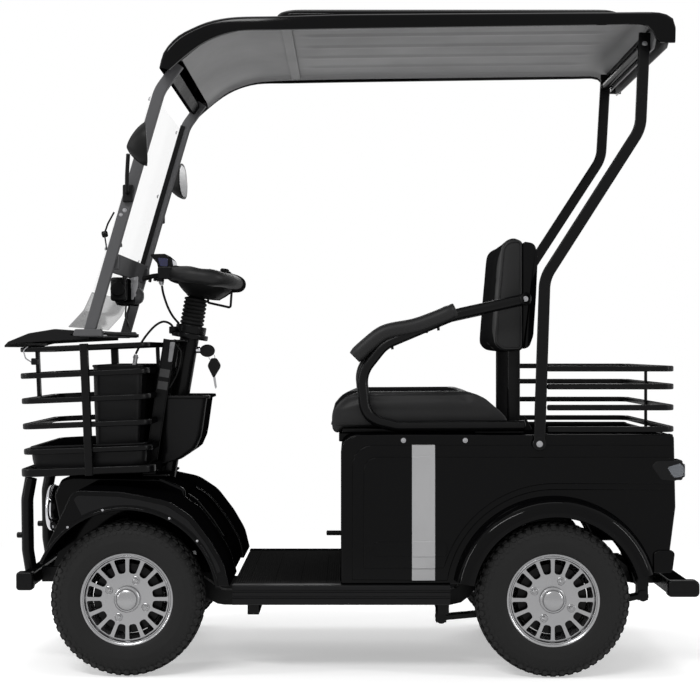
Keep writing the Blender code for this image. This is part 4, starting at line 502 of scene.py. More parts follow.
TREAD_ROWS = (
    (-0.0275, 0.0165, 0.0165, 0.0),
    (-0.0092, 0.015, 0.0175, 0.5),
    (0.0092, 0.015, 0.0175, 0.0),
    (0.0275, 0.0165, 0.0165, 0.5),
)


def tyre_shape():
    kit = Kit()
    wall = [(0.1135, 0.034), (0.119, 0.0385), (0.1225, 0.0425), (0.129, 0.0452), (0.14, 0.0478),
            (0.15, 0.049), (0.153, 0.0497), (0.156, 0.049), (0.168, 0.0486), (0.178, 0.047), (0.186, 0.043),
            (0.1915, 0.037), (0.1945, 0.028), (0.1955, 0.01)]
    kit.lathe([(r, -a) for r, a in wall] + [(r, a) for r, a in wall[::-1]], (0, 0, 0), steps=112)
    count = 54
    for along, wide, long, shift in TREAD_ROWS:
        for i in range(count):
            spin = Matrix.Rotation(2 * math.pi * (i + shift) / count, 4, "Y")
            top = 0.2013 if abs(along) < 0.02 else 0.1991
            kit.box((-long / 2, along - wide / 2, 0.193), (long / 2, along + wide / 2, top), 0.0022, 1,
                    matrix=spin)
    studs = (
        (0.25, (0.0395, 0.1865), (0.72, 0.69), ((0.0086, -0.002), (0.0084, 0.0035), (0.007, 0.0052))),
        (0.75, (0.0462, 0.1765), (0.95, 0.3), ((0.0062, -0.002), (0.006, 0.0012), (0.005, 0.002))),
    )
    for sign in (-1, 1):
        for i in range(count):
            for shift, (y, z), (out, up), profile in studs:
                spin = Matrix.Rotation(2 * math.pi * (i + shift + 0.25 * sign) / count, 4, "Y")
                stud = Matrix.Translation((0, sign * y, z)) @ turn_to((0, sign * out, up))
                rings = [[(a, b, high) for a, b in circle(r, 8)] for r, high in profile]
                kit.skin(rings, matrix=spin @ stud)
    return kit


def rim_shape():
    kit = Kit()
    outside = [(0.114, 0.035), (0.1212, 0.0378), (0.1216, 0.04), (0.1202, 0.0418), (0.1178, 0.0422),
               (0.116, 0.0408), (0.1146, 0.04), (0.1132, 0.0412), (0.1112, 0.0412), (0.1098, 0.0396),
               (0.1086, 0.036), (0.1078, 0.03), (0.1078, 0.025), (0.096, 0.008), (0.096, -0.01),
               (0.106, -0.022), (0.109, -0.038), (0.118, -0.0405), (0.1205, -0.0395), (0.114, -0.035),
               (0.1128, -0.023), (0.1, -0.012), (0.1, 0.01), (0.1128, 0.024)]
    kit.lathe([(r, -a) for r, a in outside], (0, 0, 0), steps=112)
    hub = [(0.012, -0.02), (0.0345, -0.02), (0.0345, -0.0335), (0.0338, -0.0385), (0.0315, -0.0405),
           (0.0285, -0.0405), (0.0272, -0.0385), (0.0262, -0.0385), (0.0252, -0.042), (0.0215, -0.0448),
           (0.015, -0.0462), (0.0, -0.0468), (0.0, -0.03), (0.012, -0.03)]
    kit.lathe(hub, (0, 0, 0), steps=48)
    for i in range(4):
        angle = math.pi / 4 + 0.35 + i * math.pi / 2
        x, z = 0.053 * math.cos(angle), 0.053 * math.sin(angle)
        kit.lathe(((0.0086, -0.0285), (0.0112, -0.0285), (0.0112, -0.0312), (0.0102, -0.0318),
                   (0.009, -0.0312)), (x, 0, z), steps=20)
        kit.rod((x, -0.0285, z), (x, -0.0355, z), 0.0066, 6, 0.0008)
        kit.rod((x, -0.0285, z), (x, -0.0378, z), 0.0036, 12, 0.0006)
    return kit


def disc_shape():
    """The rim's face: a dished disc with a ring of round-ended windows."""
    curve = bpy.data.curves.new("disc", "CURVE")
    curve.dimensions = "2D"
    curve.fill_mode = "BOTH"
    curve.extrude = 0.0025
    rounds = [circle(0.1082, 128), circle(0.03, 48)]
    for i in range(16):
        window = bend(((-0.0155, 0.105, 0.004), (0.0155, 0.105, 0.004), (0.0088, 0.067, 0.0075),
                       (-0.0088, 0.067, 0.0075)), True, 6)
        turn = Matrix.Rotation(2 * math.pi * (i + 0.5) / 16, 2)
        rounds.append([tuple(turn @ Vector(p)) for p in window])
    for points in rounds:
        spline = curve.splines.new("POLY")
        spline.points.add(len(points) - 1)
        for point, (x, y) in zip(spline.points, points):
            point.co = (x, y, 0.0, 1.0)
        spline.use_cyclic_u = True
    holder = bpy.data.objects.new("disc", curve)
    scene.collection.objects.link(holder)
    bpy.context.view_layer.update()
    data = bpy.data.meshes.new_from_object(holder.evaluated_get(bpy.context.evaluated_depsgraph_get()))
    bpy.data.objects.remove(holder, do_unlink=True)
    data.transform(Matrix.Translation((0, -0.0275, 0)) @ Matrix.Rotation(math.radians(90), 4, "X"))
    part = bmesh.new()
    part.from_mesh(data)
    bmesh.ops.remove_doubles(part, verts=part.verts, dist=0.00001)
    bmesh.ops.dissolve_limit(part, angle_limit=0.02, verts=part.verts, edges=part.edges, delimit={"NORMAL"})
    sharp = [e for e in part.edges if len(e.link_faces) == 2 and e.calc_face_angle() > 0.8]
    bmesh.ops.bevel(part, geom=sharp, offset=0.0011, segments=2, affect="EDGES", profile=0.5,
                    clamp_overlap=True)
    bmesh.ops.triangulate(part, faces=[f for f in part.faces if len(f.verts) > 4])
    return Kit().take(part)


DRUM = ((0.0165, 0.022), (0.088, 0.022), (0.0925, 0.014), (0.0925, -0.006), (0.09, -0.01), (0.0165, -0.01))
for end, axle_x, track in (("front", -0.581, 0.312), ("rear", 0.527, 0.326)):
    for side_name, sign in SIDES:
        body = f"wheel_{end}_{side_name}"
        place = Matrix.Translation((axle_x, sign * track, AXLE_Z)) @ Matrix.Diagonal((1, -sign, 1, 1))
        where = f"{end}_{side_name}"
        tyre_shape().piece(f"tyre_{where}", TYRE, body, (f"{end}_tyre_{side_name}",), matrix=place,
                           weighted=False)
        rim_shape().piece(f"rim_{where}", ALLOY, body, (f"{end}_rim_{side_name}",), matrix=place, angle=28)
        disc_shape().piece(f"rim_face_{where}", ALLOY, body, matrix=place, angle=25)
        drum = Kit().lathe(DRUM, (0, 0, 0), steps=64)
        drum.piece(f"drum_{where}", STEEL, body, matrix=place)


# Front body

ARCH = (-0.581, AXLE_Z)
CREST = ((-0.8, 0.302), (-0.791, 0.329, 0.03), (-0.717, 0.488, 0.032), (-0.6, 0.4845, 0.2),
         (-0.544, 0.476, 0.2), (-0.469, 0.46, 0.1), (-0.41, 0.421, 0.1), (-0.361, 0.357, 0.15),
         (-0.326, 0.297, 0.12), (-0.312, 0.24))


def shifted(points, distance):
    """An open drawing moved to its right, as seen along it."""
    points = [Vector(p) for p in points]
    made = []
    for i, here in enumerate(points):
        before = (here - points[i - 1]).normalized() if i else None
        after = (points[i + 1] - here).normalized() if i < len(points) - 1 else None
        along = ((before or after) + (after or before)).normalized()
        made.append(tuple(here + Vector((along.y, -along.x)) * distance))
    return made


crest = bend(CREST, segments=8)
front = Kit()
for _, sign in SIDES:
    front.wing(crest + arc(ARCH, 0.236, 9.5, 155.3, 56), sign, 0.149, 0.3745, 0.009, 4)
    web = crest + [(-0.42, 0.24), (-0.42, 0.3), (-0.61, 0.3), (-0.61, 0.4), (-0.755, 0.4)]
    front.wing(web, sign, 0.128, 0.152, 0.004)
    front.wing(arc(ARCH, 0.2385, 88, 166, 30) + arc(ARCH, 0.19, 166, 88, 30), sign, 0.1455, 0.1515, 0.001)
    rolled = arc(ARCH, 0.2395, 9.5, 155.3, 64)
    front.sweep([(x, sign * 0.3722, z) for x, z in rolled], circle(0.0052, 12), cap=0.004)
panel_line = shifted(crest, 0.01)
start = min(range(len(panel_line)), key=lambda i: abs(panel_line[i][0] + 0.47))
inner = shifted(panel_line[start:], 0.005)
front.slab(panel_line[start:] + inner[::-1], -0.13, 0.13, bevel=0.001)
hood = bend(((-0.745, 0.352, 0.01), (-0.792, 0.352, 0.015), (-0.812, 0.455, 0.03), (-0.792, 0.497, 0.02),
             (-0.76, 0.5045, 0.02), (-0.52, 0.5, 0.05), (-0.452, 0.47, 0.02), (-0.452, 0.44), (-0.69, 0.44)),
             True, 5)
front.slab(hood, -0.149, 0.149, bevel=0.008, segments=4)
front.slab(bend(((-0.47, 0.462), (-0.428, 0.433, 0.02), (-0.383, 0.378, 0.1), (-0.352, 0.33)), segments=5)
           + [(-0.36, 0.326), (-0.392, 0.37), (-0.436, 0.422), (-0.47, 0.448)], -0.07, 0.07, bevel=0.003)
front.piece("front_bodywork", GLOSS, replaces=("front_fairing",))
for side_name, sign in SIDES:
    face = Kit()
    edge = shifted(crest[1:-1], 0.013)
    keep = [p for p in edge if math.hypot(p[0] - ARCH[0], p[1] - ARCH[1]) > 0.25]
    first, last = (math.degrees(math.atan2(z - ARCH[1], x - ARCH[0])) for x, z in (keep[0], keep[-1]))
    face.wing(keep + arc(ARCH, 0.2485, last, first, 40), sign, 0.3735, 0.3757, 0.0006, 2)
    face.piece(f"fender_face_{side_name}", SATIN)
    studs = Kit()
    for angle in (128, 104, 62, 40):
        x, z = arc(ARCH, 0.2425, angle, angle, 1)[0]
        studs.rod((x, sign * 0.368, z), (x, sign * 0.3778, z), 0.0034, 12, 0.0008)
    studs.piece(f"fender_rivets_{side_name}", ZINC)


# Rear body

REAR_ARCH = (0.535, AXLE_Z)
rear = Kit()
hull = bend(((-0.024, 0.2384), (-0.024, 0.629, 0.045), (0.848, 0.629, 0.01), (0.852, 0.44, 0.03),
             (0.83, 0.268, 0.012)), segments=8)
side_outline = hull + arc(REAR_ARCH, 0.215, 18.0, 162.0, 56) + [(0.3, 0.2384)]
for _, sign in SIDES:
    rear.wing(side_outline, sign, 0.296, 0.333, 0.005, 4)
    tunnel = arc(REAR_ARCH, 0.217, 10, 170, 40)
    rear.wing(tunnel + arc(REAR_ARCH, 0.221, 170, 10, 40), sign, 0.256, 0.3, 0.0)
    ledge_a = bend(((0.006, 0.25, 0.01), (0.006, 0.602, 0.052), (0.846, 0.602, 0.006), (0.848, 0.4855)),
                   segments=8)
    ledge_a += arc(REAR_ARCH, 0.284, 90, 170.5, 30)
    rear.wing(ledge_a, sign, 0.331, 0.3362, 0.0026)
    door = bend(((0.036, 0.281, 0.02), (0.036, 0.571, 0.034), (0.836, 0.571, 0.006), (0.838, 0.5015)),
                segments=8)
    door += arc(REAR_ARCH, 0.3, 90, 164.5, 30)
    rear.wing(door, sign, 0.334, 0.3395, 0.0026)
    pill = bend(((0.062, 0.312, 0.012), (0.254, 0.312, 0.012), (0.254, 0.35, 0.012), (0.062, 0.35, 0.012)),
                True, 6)
    rear.wing(pill, sign, 0.338, 0.3412, 0.0014)
    corner = bend(((0.792, 0.268, 0.01), (0.792, 0.32, 0.01), (0.805, 0.328, 0.01), (0.85, 0.328, 0.012),
                   (0.842, 0.268, 0.01)), True, 4)
    rear.wing(corner, sign, 0.325, 0.3395, 0.003)
    flare = [(0.268, 0.326), (0.2672, 0.345), (0.2635, 0.362), (0.256, 0.3755), (0.2455, 0.3825),
             (0.234, 0.3845), (0.2235, 0.384), (0.2175, 0.381), (0.215, 0.3745), (0.215, 0.326)]
    rear.lathe([(r, sign * y) for r, y in flare], (REAR_ARCH[0], 0, AXLE_Z), steps=72, start=15.5, end=169.5)
    rear.block(sign, (0.511, 0.846), (0.296, 0.33), (0.6235, 0.6305), 0.003, 3)
shell = bend(((-0.024, 0.2384), (-0.024, 0.629, 0.045), (0.515, 0.629)), segments=8)
rear.slab(shell + shifted(shell, 0.004)[::-1], -0.3, 0.3, bevel=0.0)
rear.box((0.511, -0.3, 0.446), (0.515, 0.3, 0.6285), 0.001)
rear.box((0.511, -0.3, 0.4445), (0.842, 0.3, 0.448), 0.001)
back = bend(((0.836, 0.4445), (0.836, 0.6285, 0.003), (0.848, 0.629, 0.005), (0.852, 0.44, 0.03),
             (0.83, 0.268, 0.006), (0.822, 0.268)), segments=5)
rear.slab(back + [(0.824, 0.44)], -0.3, 0.3, bevel=0.0)
rear.slab(bend(((-0.21, 0.3, 0.012), (0.21, 0.3, 0.012), (0.21, 0.42, 0.012), (-0.21, 0.42, 0.012)), True, 5),
          0.838, 0.8535, "X", bevel=0.003)
rear.slab(((-0.03, 0.603), (0.07, 0.603), (0.07, 0.6275), (-0.03, 0.6275)), -0.2, 0.2, bevel=0.003)
rear.tube(((-0.0645, -0.05, 0.3365), (-0.018, -0.05, 0.3365)), 0.007, 20, cap=0.002)
rear.piece("rear_bodywork", GLOSS, replaces=("rear_body",))

for side_name, sign in SIDES:
    line = ((0.3336, 0.603), (0.3368, 0.6005), (0.3368, 0.5735), (0.34, 0.5705), (0.34, 0.352),
            (0.3417, 0.35), (0.3417, 0.312), (0.34, 0.31), (0.34, 0.2815), (0.3368, 0.2785), (0.3368, 0.249))
    tape = Kit()
    tape.skin([[(x, sign * y, z) for y, z in line] + [(x, sign * (y + 0.0006), z) for y, z in line[::-1]]
               for x in (0.162, 0.222)])
    tape.piece(f"side_tape_{side_name}", STRAP)
    lamp_box = Kit()
    housing = bend(((0.786, 0.548, 0.006), (0.8, 0.562, 0.008), (0.866, 0.5625, 0.008),
                    (0.8755, 0.545, 0.008), (0.871, 0.516, 0.008), (0.846, 0.5085, 0.012),
                    (0.812, 0.511, 0.012)), True, 5)
    lamp_box.wing(housing, sign, 0.3045, 0.3405, 0.004)
    lamp_box.block(sign, (0.842, 0.874), (0.262, 0.32), (0.509, 0.562), 0.005, 3)
    lamp_box.piece(f"lamp_housing_{side_name}", MATT, replaces=(f"tail_lamp_{side_name}",))
    glass = Kit()
    pane = bend(((0.826, 0.545, 0.006), (0.862, 0.5555, 0.006), (0.8735, 0.543, 0.006), (0.869, 0.52, 0.008),
                 (0.846, 0.5165, 0.01)), True, 5)
    glass.wing(pane, sign, 0.33, 0.3425, 0.003)
    glass.block(sign, (0.862, 0.8762), (0.27, 0.338), (0.518, 0.554), 0.004, 3)
    glass.piece(f"lamp_glass_{side_name}", LENS)


# Roof

TOP_LINE = ((-0.4949, 1.5824), (-0.4833, 1.6237), (-0.4497, 1.6625), (-0.4083, 1.6858), (-0.3618, 1.7039),
            (-0.2998, 1.7142), (-0.1835, 1.7168), (0.0, 1.7219), (0.7133, 1.7274), (0.8012, 1.7266),
            (0.8348, 1.7142), (0.8425, 1.692))
EDGE_LINE = ((-0.469, 1.576), (-0.4264, 1.613), (-0.3851, 1.643), (-0.3386, 1.665), (-0.2817, 1.678),
             (-0.19, 1.68), (0.0, 1.6834), (0.7, 1.6935), (0.7546, 1.6945), (0.7779, 1.6858),
             (0.7908, 1.6612), (0.796, 1.6486), (0.8415, 1.647))


def spaced(points, count):
    """Points at equal steps along a smooth line through the given ones."""
    points = [Vector(p) for p in points]
    fine = []
    for i in range(len(points) - 1):
        a, b = points[i], points[i + 1]
        before, after = points[max(i - 1, 0)], points[min(i + 2, len(points) - 1)]
        limit = (b - a).length
        pull_a, pull_b = (v.normalized() * min(v.length, limit) for v in ((b - before) / 2, (after - a) / 2))
        for k in range(12):
            t = k / 12
            ends = a * (2 * t**3 - 3 * t**2 + 1) + b * (3 * t**2 - 2 * t**3)
            fine.append(ends + pull_a * (t**3 - 2 * t**2 + t) + pull_b * (t**3 - t**2))
    fine.append(points[-1])
    lengths = [0.0]
    for a, b in zip(fine, fine[1:]):
        lengths.append(lengths[-1] + (b - a).length)
    made, j = [], 0
    for i in range(count):
        goal = lengths[-1] * i / (count - 1)
        while j < len(fine) - 2 and lengths[j + 1] < goal:
            j += 1
        share = (goal - lengths[j]) / max(lengths[j + 1] - lengths[j], 1e-9)
        made.append(fine[j].lerp(fine[j + 1], min(1.0, max(0.0, share))))
    return made


roof_top = spaced(TOP_LINE, 72)
roof_edge = spaced(EDGE_LINE, 72)
HALF = 0.375
rings = []
for high, low in zip(roof_top, roof_edge):
    drop = low - high
    out = drop.normalized()
    deep = drop.length
    r = min(0.013, deep * 0.45)
    section = [(0.0, 0.0), (0.18, 0.0), (0.3, 0.0)] + arc((HALF - r, r), r, -90, 0, 4)
    section += [(HALF, deep - 0.003), (HALF - 0.002, deep), (HALF - 0.01, deep), (HALF - 0.012, deep - 0.003)]
    section += [(HALF - 0.012, 0.012), (0.33, 0.006), (0.0, 0.0055)]
    whole = section + [(-y, d) for y, d in section[1:-1][::-1]]
    spots = [(high + out * d, y) for y, d in whole]
    rings.append([Vector((spot.x, y, spot.y)) for spot, y in spots])
roof = Kit()
roof.skin(rings)
ridge = ((1.716, 0.0), (1.738, 0.0), (1.7415, 0.0006), (1.745, 0.0022), (1.7485, 0.0055), (1.7512, 0.0105),
         (1.7532, 0.018), (1.7543, 0.028), (1.7548, 0.04))
roof.skin([oblong(0.2635, 0.4585 - inset, 0.3 - inset, 0.05, z, 8) for z, inset in ridge])
roof.piece("roof_top", GLOSS, replaces=("roof_shell",), angle=40, weighted=False)


# Roof, under and around

liner = Kit()
under = [(-0.44, 1.6085), (-0.421, 1.624), (-0.385, 1.652), (-0.339, 1.6735), (-0.282, 1.688),
         (-0.195, 1.693), (0.0, 1.6975), (0.7, 1.706), (0.76, 1.705), (0.783, 1.69)]
rows = []
for x, z in spaced(under, 60):
    ring = []
    for i in range(57):
        y = -0.355 + 0.71 * i / 56
        ribs = sum(math.exp(-((y - c) / 0.0075) ** 2) for c in (-0.21, -0.07, 0.07, 0.21))
        ease = max(0.0, min(1.0, (x + 0.15) / 0.05)) * max(0.0, min(1.0, (0.705 - x) / 0.04))
        lip = 0.01 * max(0.0, (abs(y) - 0.335) / 0.02)
        ring.append(Vector((x, y, z + 0.0025 - 0.0065 * ribs * ease - lip)))
    rows.append(ring + [Vector((p.x, p.y, p.z + 0.0035)) for p in ring[::-1]])
liner.skin(rows)
strap = [(-0.167, y, z) for y, z in ((-0.345, 1.6895), (-0.3, 1.6915), (0.3, 1.6915), (0.345, 1.6895))]
liner.sweep(strap, bar(0.028, 0.0035, 0.0012), (1, 0, 0))
valance = bend(((-0.35, 1.7195), (-0.35, 1.668, 0.006), (-0.318, 1.642, 0.006), (0.318, 1.642, 0.006),
                (0.35, 1.668, 0.006), (0.35, 1.7195)), segments=3)
liner.slab(valance, 0.795, 0.8, "X", bevel=0.0015)
for y in (-0.3, -0.1, 0.1, 0.3):
    liner.bolt((0.795, y, 1.69), (-1, 0, 0), 0.0045, 0.003)
rear_plate = bend(((-0.366, 1.7), (-0.366, 1.647, 0.008), (-0.35, 1.637, 0.008), (0.35, 1.637, 0.008),
                   (0.366, 1.647, 0.008), (0.366, 1.7)), segments=3)
liner.slab(rear_plate, 0.8235, 0.8262, "X", bevel=0.001)
liner.piece("roof_lining", LINER, replaces=("roof_liner",), angle=40)

POST_LINE = ((0.494, 0.3415, 0.611), (0.512, 0.3139, 1.04, 0.1), (0.767, 0.295, 1.436, 0.1),
             (0.78, 0.286, 1.69))
for side_name, sign in SIDES:
    post = Kit()
    post.sweep(bend([(x, sign * y, *rest) for x, y, *rest in POST_LINE], segments=10),
               bar(0.013, 0.03, 0.0035), (0, 1, 0))
    post.rod((0.494, sign * 0.335, 0.606), (0.494, sign * 0.348, 0.606), 0.018, 32, 0.0015)
    post.piece(f"roof_post_{side_name}", STEEL, replaces=(f"rear_post_{side_name}",))
    bolts = Kit()
    for x, y, z, radius, high in ((0.494, 0.3478, 0.606, 0.0062, 0.0042),
                                  (0.1398, 0.3325, 0.6145, 0.005, 0.0035),
                                  (0.3015, 0.3325, 0.6145, 0.005, 0.0035),
                                  (0.779, 0.2925, 1.66, 0.0055, 0.004)):
        bolts.bolt((x, sign * y, z), (0, sign, 0), radius, high)
    bolts.piece(f"roof_post_bolts_{side_name}", ZINC)

tie = Kit().rod((0.778, -0.279, 1.655), (0.778, 0.279, 1.655), 0.013, 24, 0.001)
for _, sign in SIDES:
    tie.rod((0.778, sign * 0.266, 1.655), (0.778, sign * 0.2715, 1.655), 0.0155, 24, 0.0008)
tie.piece("roof_tie_bar", STEEL, replaces=tuple(n for n in NODES if "cross_tube" in n))

# Rack behind the seat

RACK_X, RACK_Y = 0.502, 0.317
rack = Kit()
for z in (0.6432, 0.7, 0.755, 0.802):
    line = bend(((0.52, -0.324, z), (0.849, -0.324, z, 0.03), (0.849, 0.324, z, 0.03), (0.52, 0.324, z)),
                segments=8)
    rack.sweep(line, bar(0.015, 0.01, 0.003), (0, 0, 1), cap=0.004)
feet = Kit()
for _, sign in SIDES:
    y = sign * RACK_Y
    upright = [(RACK_X, y, z) for z in (0.63, 0.798, 0.808)]
    rack.sweep(upright, bar(0.0115, 0.008, 0.0025), (1, 0, 0), cap=0.002)
    rack.box((RACK_X - 0.016, y - 0.009, 0.6292), (RACK_X + 0.016, y + 0.009, 0.6328), 0.001)
    feet.bolt((RACK_X - 0.0115, y, 0.6328), (0, 0, 1), 0.0035, 0.003)
rack.tube([(0.8425, 0.0, 0.63), (0.8425, 0.0, 0.802)], 0.0045, 16)
rack.piece("rack_hoops", STEEL, replaces=("rear_rack",))
feet.piece("rack_bolts", ZINC)

# Basket, drawn level and pitched about the CAD's own pivot

PITCH = placed((-0.71, 0, 0.7), -2.5, "Y") @ Matrix.Translation((0.71, 0, -0.7))


def basket_line(z, front_x, rear_x=-0.54, inset=0.0, corner=0.035):
    rim = ((front_x + inset, -0.222 + inset, z, corner), (rear_x - inset, -0.262 + inset, z, corner),
           (rear_x - inset, 0.262 - inset, z, corner), (front_x + inset, 0.222 - inset, z, corner))
    return bend(rim, True, 8)


basket = Kit()
for z in (0.583, 0.6515, 0.72, 0.788):
    basket.sweep(basket_line(z, -0.884), bar(0.0155, 0.011, 0.0035), (0, 0, 1), True, matrix=PITCH)
for z, front_x, section in ((0.527, -0.888, bar(0.022, 0.02, 0.004)),
                            (0.859, -0.877, bar(0.0125, 0.02, 0.003))):
    basket.sweep(basket_line(z, front_x), section, (0, 0, 1), True, matrix=PITCH)
for _, sign in SIDES:
    y = sign * 0.247
    basket.sweep([(-0.705, y, 0.515), (-0.705, y, 0.868)], bar(0.021, 0.021, 0.003), (1, 0, 0), matrix=PITCH)
    y = sign * 0.0925
    basket.sweep([(-0.872, y, 0.5225), (-0.548, y, 0.5225)], bar(0.024, 0.012, 0.003), (0, 1, 0),
                 matrix=PITCH)
for x, top, thick in ((-0.8835, 0.868, 0.01), (-0.5415, 0.862, 0.009)):
    basket.sweep([(x, 0, 0.716), (x, 0, top)], bar(0.022, thick, 0.002), (0, 1, 0), matrix=PITCH)
basket.piece("basket_hoops", STEEL, replaces=("basket_frame",))

tray = Kit()
outer = [(0.593, 0.0115, 0.034), (0.5915, 0.012, 0.034), (0.56, 0.014, 0.034), (0.538, 0.018, 0.033),
         (0.5325, 0.0245, 0.03)]
inside = [(0.5345, 0.027, 0.03), (0.54, 0.021, 0.033), (0.561, 0.017, 0.034), (0.5915, 0.015, 0.034),
          (0.593, 0.0145, 0.034)]
tray.skin([basket_line(z, -0.884, inset=inset, corner=r) for z, inset, r in outer + inside], matrix=PITCH)
tray.tube(basket_line(0.5935, -0.884, inset=0.0128, corner=0.034), 0.003, 10, closed=True, matrix=PITCH)
for i in range(7):
    x = -0.85 + i * 0.045
    tray.sweep([(x, -0.19, 0.5365), (x, 0.19, 0.5365)], bar(0.008, 0.004, 0.0015), (1, 0, 0), matrix=PITCH)
walls = [(0.54, 0.012, 0.012), (0.6, 0.0075, 0.016), (0.7, 0.003, 0.02), (0.806, 0.0, 0.024),
         (0.8085, 0.0008, 0.024)]
ins = [(0.8085, 0.003, 0.022), (0.8, 0.0035, 0.021), (0.7, 0.006, 0.018), (0.6, 0.0105, 0.014),
       (0.545, 0.015, 0.01)]
tray.skin([oblong(-0.63, 0.0665 - inset, 0.215 - inset, r, z, 6) for z, inset, r in walls + ins])
tray.tube(oblong(-0.63, 0.0662, 0.2147, 0.024, 0.8075, 6), 0.0034, 10, closed=True)
tray.piece("basket_liner", SATIN, replaces=("basket_tray",))

cowl = Kit()
COWL = ((-0.925, 0.863), (-0.915, 0.8735, 0.006), (-0.86, 0.896, 0.05), (-0.79, 0.9075, 0.05), (-0.7, 0.901))
top_line = bend(COWL)
cowl.slab(top_line + [(x, z - 0.0045) for x, z in top_line[::-1]], -0.246, 0.246, bevel=0.0018)
for _, sign in SIDES:
    cowl.wing(top_line + [(-0.7, 0.88), (-0.8935, 0.87)], sign, 0.242, 0.248, 0.0022)
    for x, z in ((-0.868, 0.8905), (-0.735, 0.9035)):
        cowl.bolt((x, sign * 0.205, z), (0, 0, 1), 0.005, 0.003)
cowl.slab(((-0.925, 0.8625), (-0.9185, 0.87), (-0.91, 0.8715), (-0.912, 0.864)), -0.244, 0.244, bevel=0.001)
cowl.piece("cowl_panel", MATT, replaces=("basket_cowl",))

# Bumpers and headlamp

def plate(x, z, *radii):
    """A rounded rectangle in X and Z: one radius, or one for each corner from the low front one round."""
    radii = radii * 4 if len(radii) == 1 else radii
    spots = ((x[0], z[0]), (x[1], z[0]), (x[1], z[1]), (x[0], z[1]))
    return bend([(*spot, radius) for spot, radius in zip(spots, radii)], True, 4)


bumper = Kit()
bumper.slab(plate((-0.888, -0.8504), (0.214, 0.25), 0.006), -0.234, 0.234, bevel=0.003)
tube_line = ((-0.879, 0.244), (-0.888, 0.3, 0.08), (-0.89, 0.44, 0.08), (-0.8795, 0.4985))
for _, sign in SIDES:
    bumper.wing(plate((-0.8925, -0.8465), (0.2085, 0.258), 0.009), sign, 0.226, 0.257, 0.006)
    y = sign * 0.13
    bumper.tube(bend([(x, y, z, *r) for x, z, *r in tube_line], segments=8), 0.0165, 24)
    bumper.rod((-0.918, y, 0.341), (-0.884, y, 0.341), 0.008, 20, 0.0018)
    bumper.rod((-0.8925, y, 0.341), (-0.884, y, 0.341), 0.0115, 20, 0.0015)
bumper.piece("bumper_bar", STEEL, replaces=("front_bumper",))
back_bar = Kit()
back_bar.slab(plate((0.8384, 0.8944), (0.206, 0.244), 0.005), -0.3, 0.3)
for _, sign in SIDES:
    back_bar.wing(plate((0.8324, 0.9164), (0.2035, 0.2475), 0.01, 0.012, 0.014, 0.008), sign, 0.298, 0.332,
                  0.007)
back_bar.piece("rear_bar", STEEL, replaces=("rear_bumper",))

LAMP = (-0.855, 0.0, 0.402)
shell = Kit()
shell.lathe(((0.0, 0.074), (0.026, 0.073), (0.044, 0.064), (0.056, 0.048), (0.0625, 0.026), (0.064, 0.012),
             (0.06, 0.01), (0.0, 0.02)),
            LAMP, "X", 64)
shell.rod((-0.783, 0, 0.372), (-0.8, 0, 0.352), 0.01, 20, 0.001)
shell.piece("lamp_shell", GLOSS)
ring = Kit().lathe(((0.0555, 0.004), (0.06, -0.0002), (0.064, 0.003), (0.066, 0.009), (0.066, 0.016),
                    (0.063, 0.019), (0.06, 0.014), (0.057, 0.01)),
                   LAMP, "X", 72)
ring.piece("lamp_ring", CHROME)
bowl = Kit().lathe(((0.056, 0.01), (0.048, 0.018), (0.034, 0.03), (0.018, 0.038), (0.0, 0.04), (0.0, 0.042),
                    (0.019, 0.04), (0.0355, 0.032), (0.0495, 0.02), (0.0575, 0.012)), LAMP, "X", 64)
bowl.ball((-0.825, 0, 0.402), (0.012, 0.009, 0.009), 16, 10)
bowl.piece("lamp_bowl", CHROME)
glass = Kit().lathe(((0.0, 0.0012), (0.02, 0.0018), (0.04, 0.0042), (0.056, 0.008), (0.057, 0.01),
                     (0.04, 0.007), (0.02, 0.0048), (0.0, 0.0042)),
                    LAMP, "X", 64)
for i in range(-3, 4):
    reach = math.sqrt(0.05 ** 2 - (i * 0.014) ** 2)
    glass.tube([(LAMP[0] + 0.0062, i * 0.014, LAMP[2] + z * reach) for z in (-0.9, -0.3, 0.3, 0.9)], 0.0016,
               8)
glass.piece("lamp_front", LENS, replaces=("headlamp",))


# Column, its bin and keys

LEAN = math.radians(9.6)
AXIS = Vector((math.sin(LEAN), 0, math.cos(LEAN)))
COLUMN_X, COLUMN_Z = -0.4557, 0.894


def column_at(z, lift=0.0):
    """A point of the steering column's axis at a height, moved ahead or back of it."""
    return Vector((COLUMN_X + (z - COLUMN_Z) * math.tan(LEAN) + lift, 0, z))


def on_column(z):
    """Stands a shape on the column's axis at a height."""
    return Matrix.Translation(column_at(z)) @ turn_to(AXIS)


column = Kit()
column.rod(column_at(0.333), column_at(0.884), 0.027, 40, 0.001)
column.lathe(((0.0, 0.0), (0.05, 0.0), (0.0515, 0.0025), (0.0515, 0.0115), (0.05, 0.014), (0.03, 0.0155),
              (0.0, 0.0155)),
             (0, 0, 0), "Z", 56, matrix=on_column(0.884))
for i in range(6):
    turn = Matrix.Rotation(math.radians(60 * i + 30), 3, "Z")
    column.bolt(column_at(0.8975) + turn @ Vector((0.042, 0, 0)), (0.167, 0, 0.986), 0.0042, 0.004)
head_plate = ((-0.52, -0.115, 0.01), (-0.455, -0.06, 0.02), (-0.455, 0.06, 0.02), (-0.52, 0.115, 0.01))
foot_plate = ((-0.575, -0.127, 0.01), (-0.5, -0.127, 0.01), (-0.5, 0.127, 0.01), (-0.575, 0.127, 0.01))
for corners, low, high in ((head_plate, 0.8735, 0.88), (foot_plate, 0.5017, 0.5075)):
    column.slab(bend(corners, True, 5), low, high, "Z", bevel=0.0015)
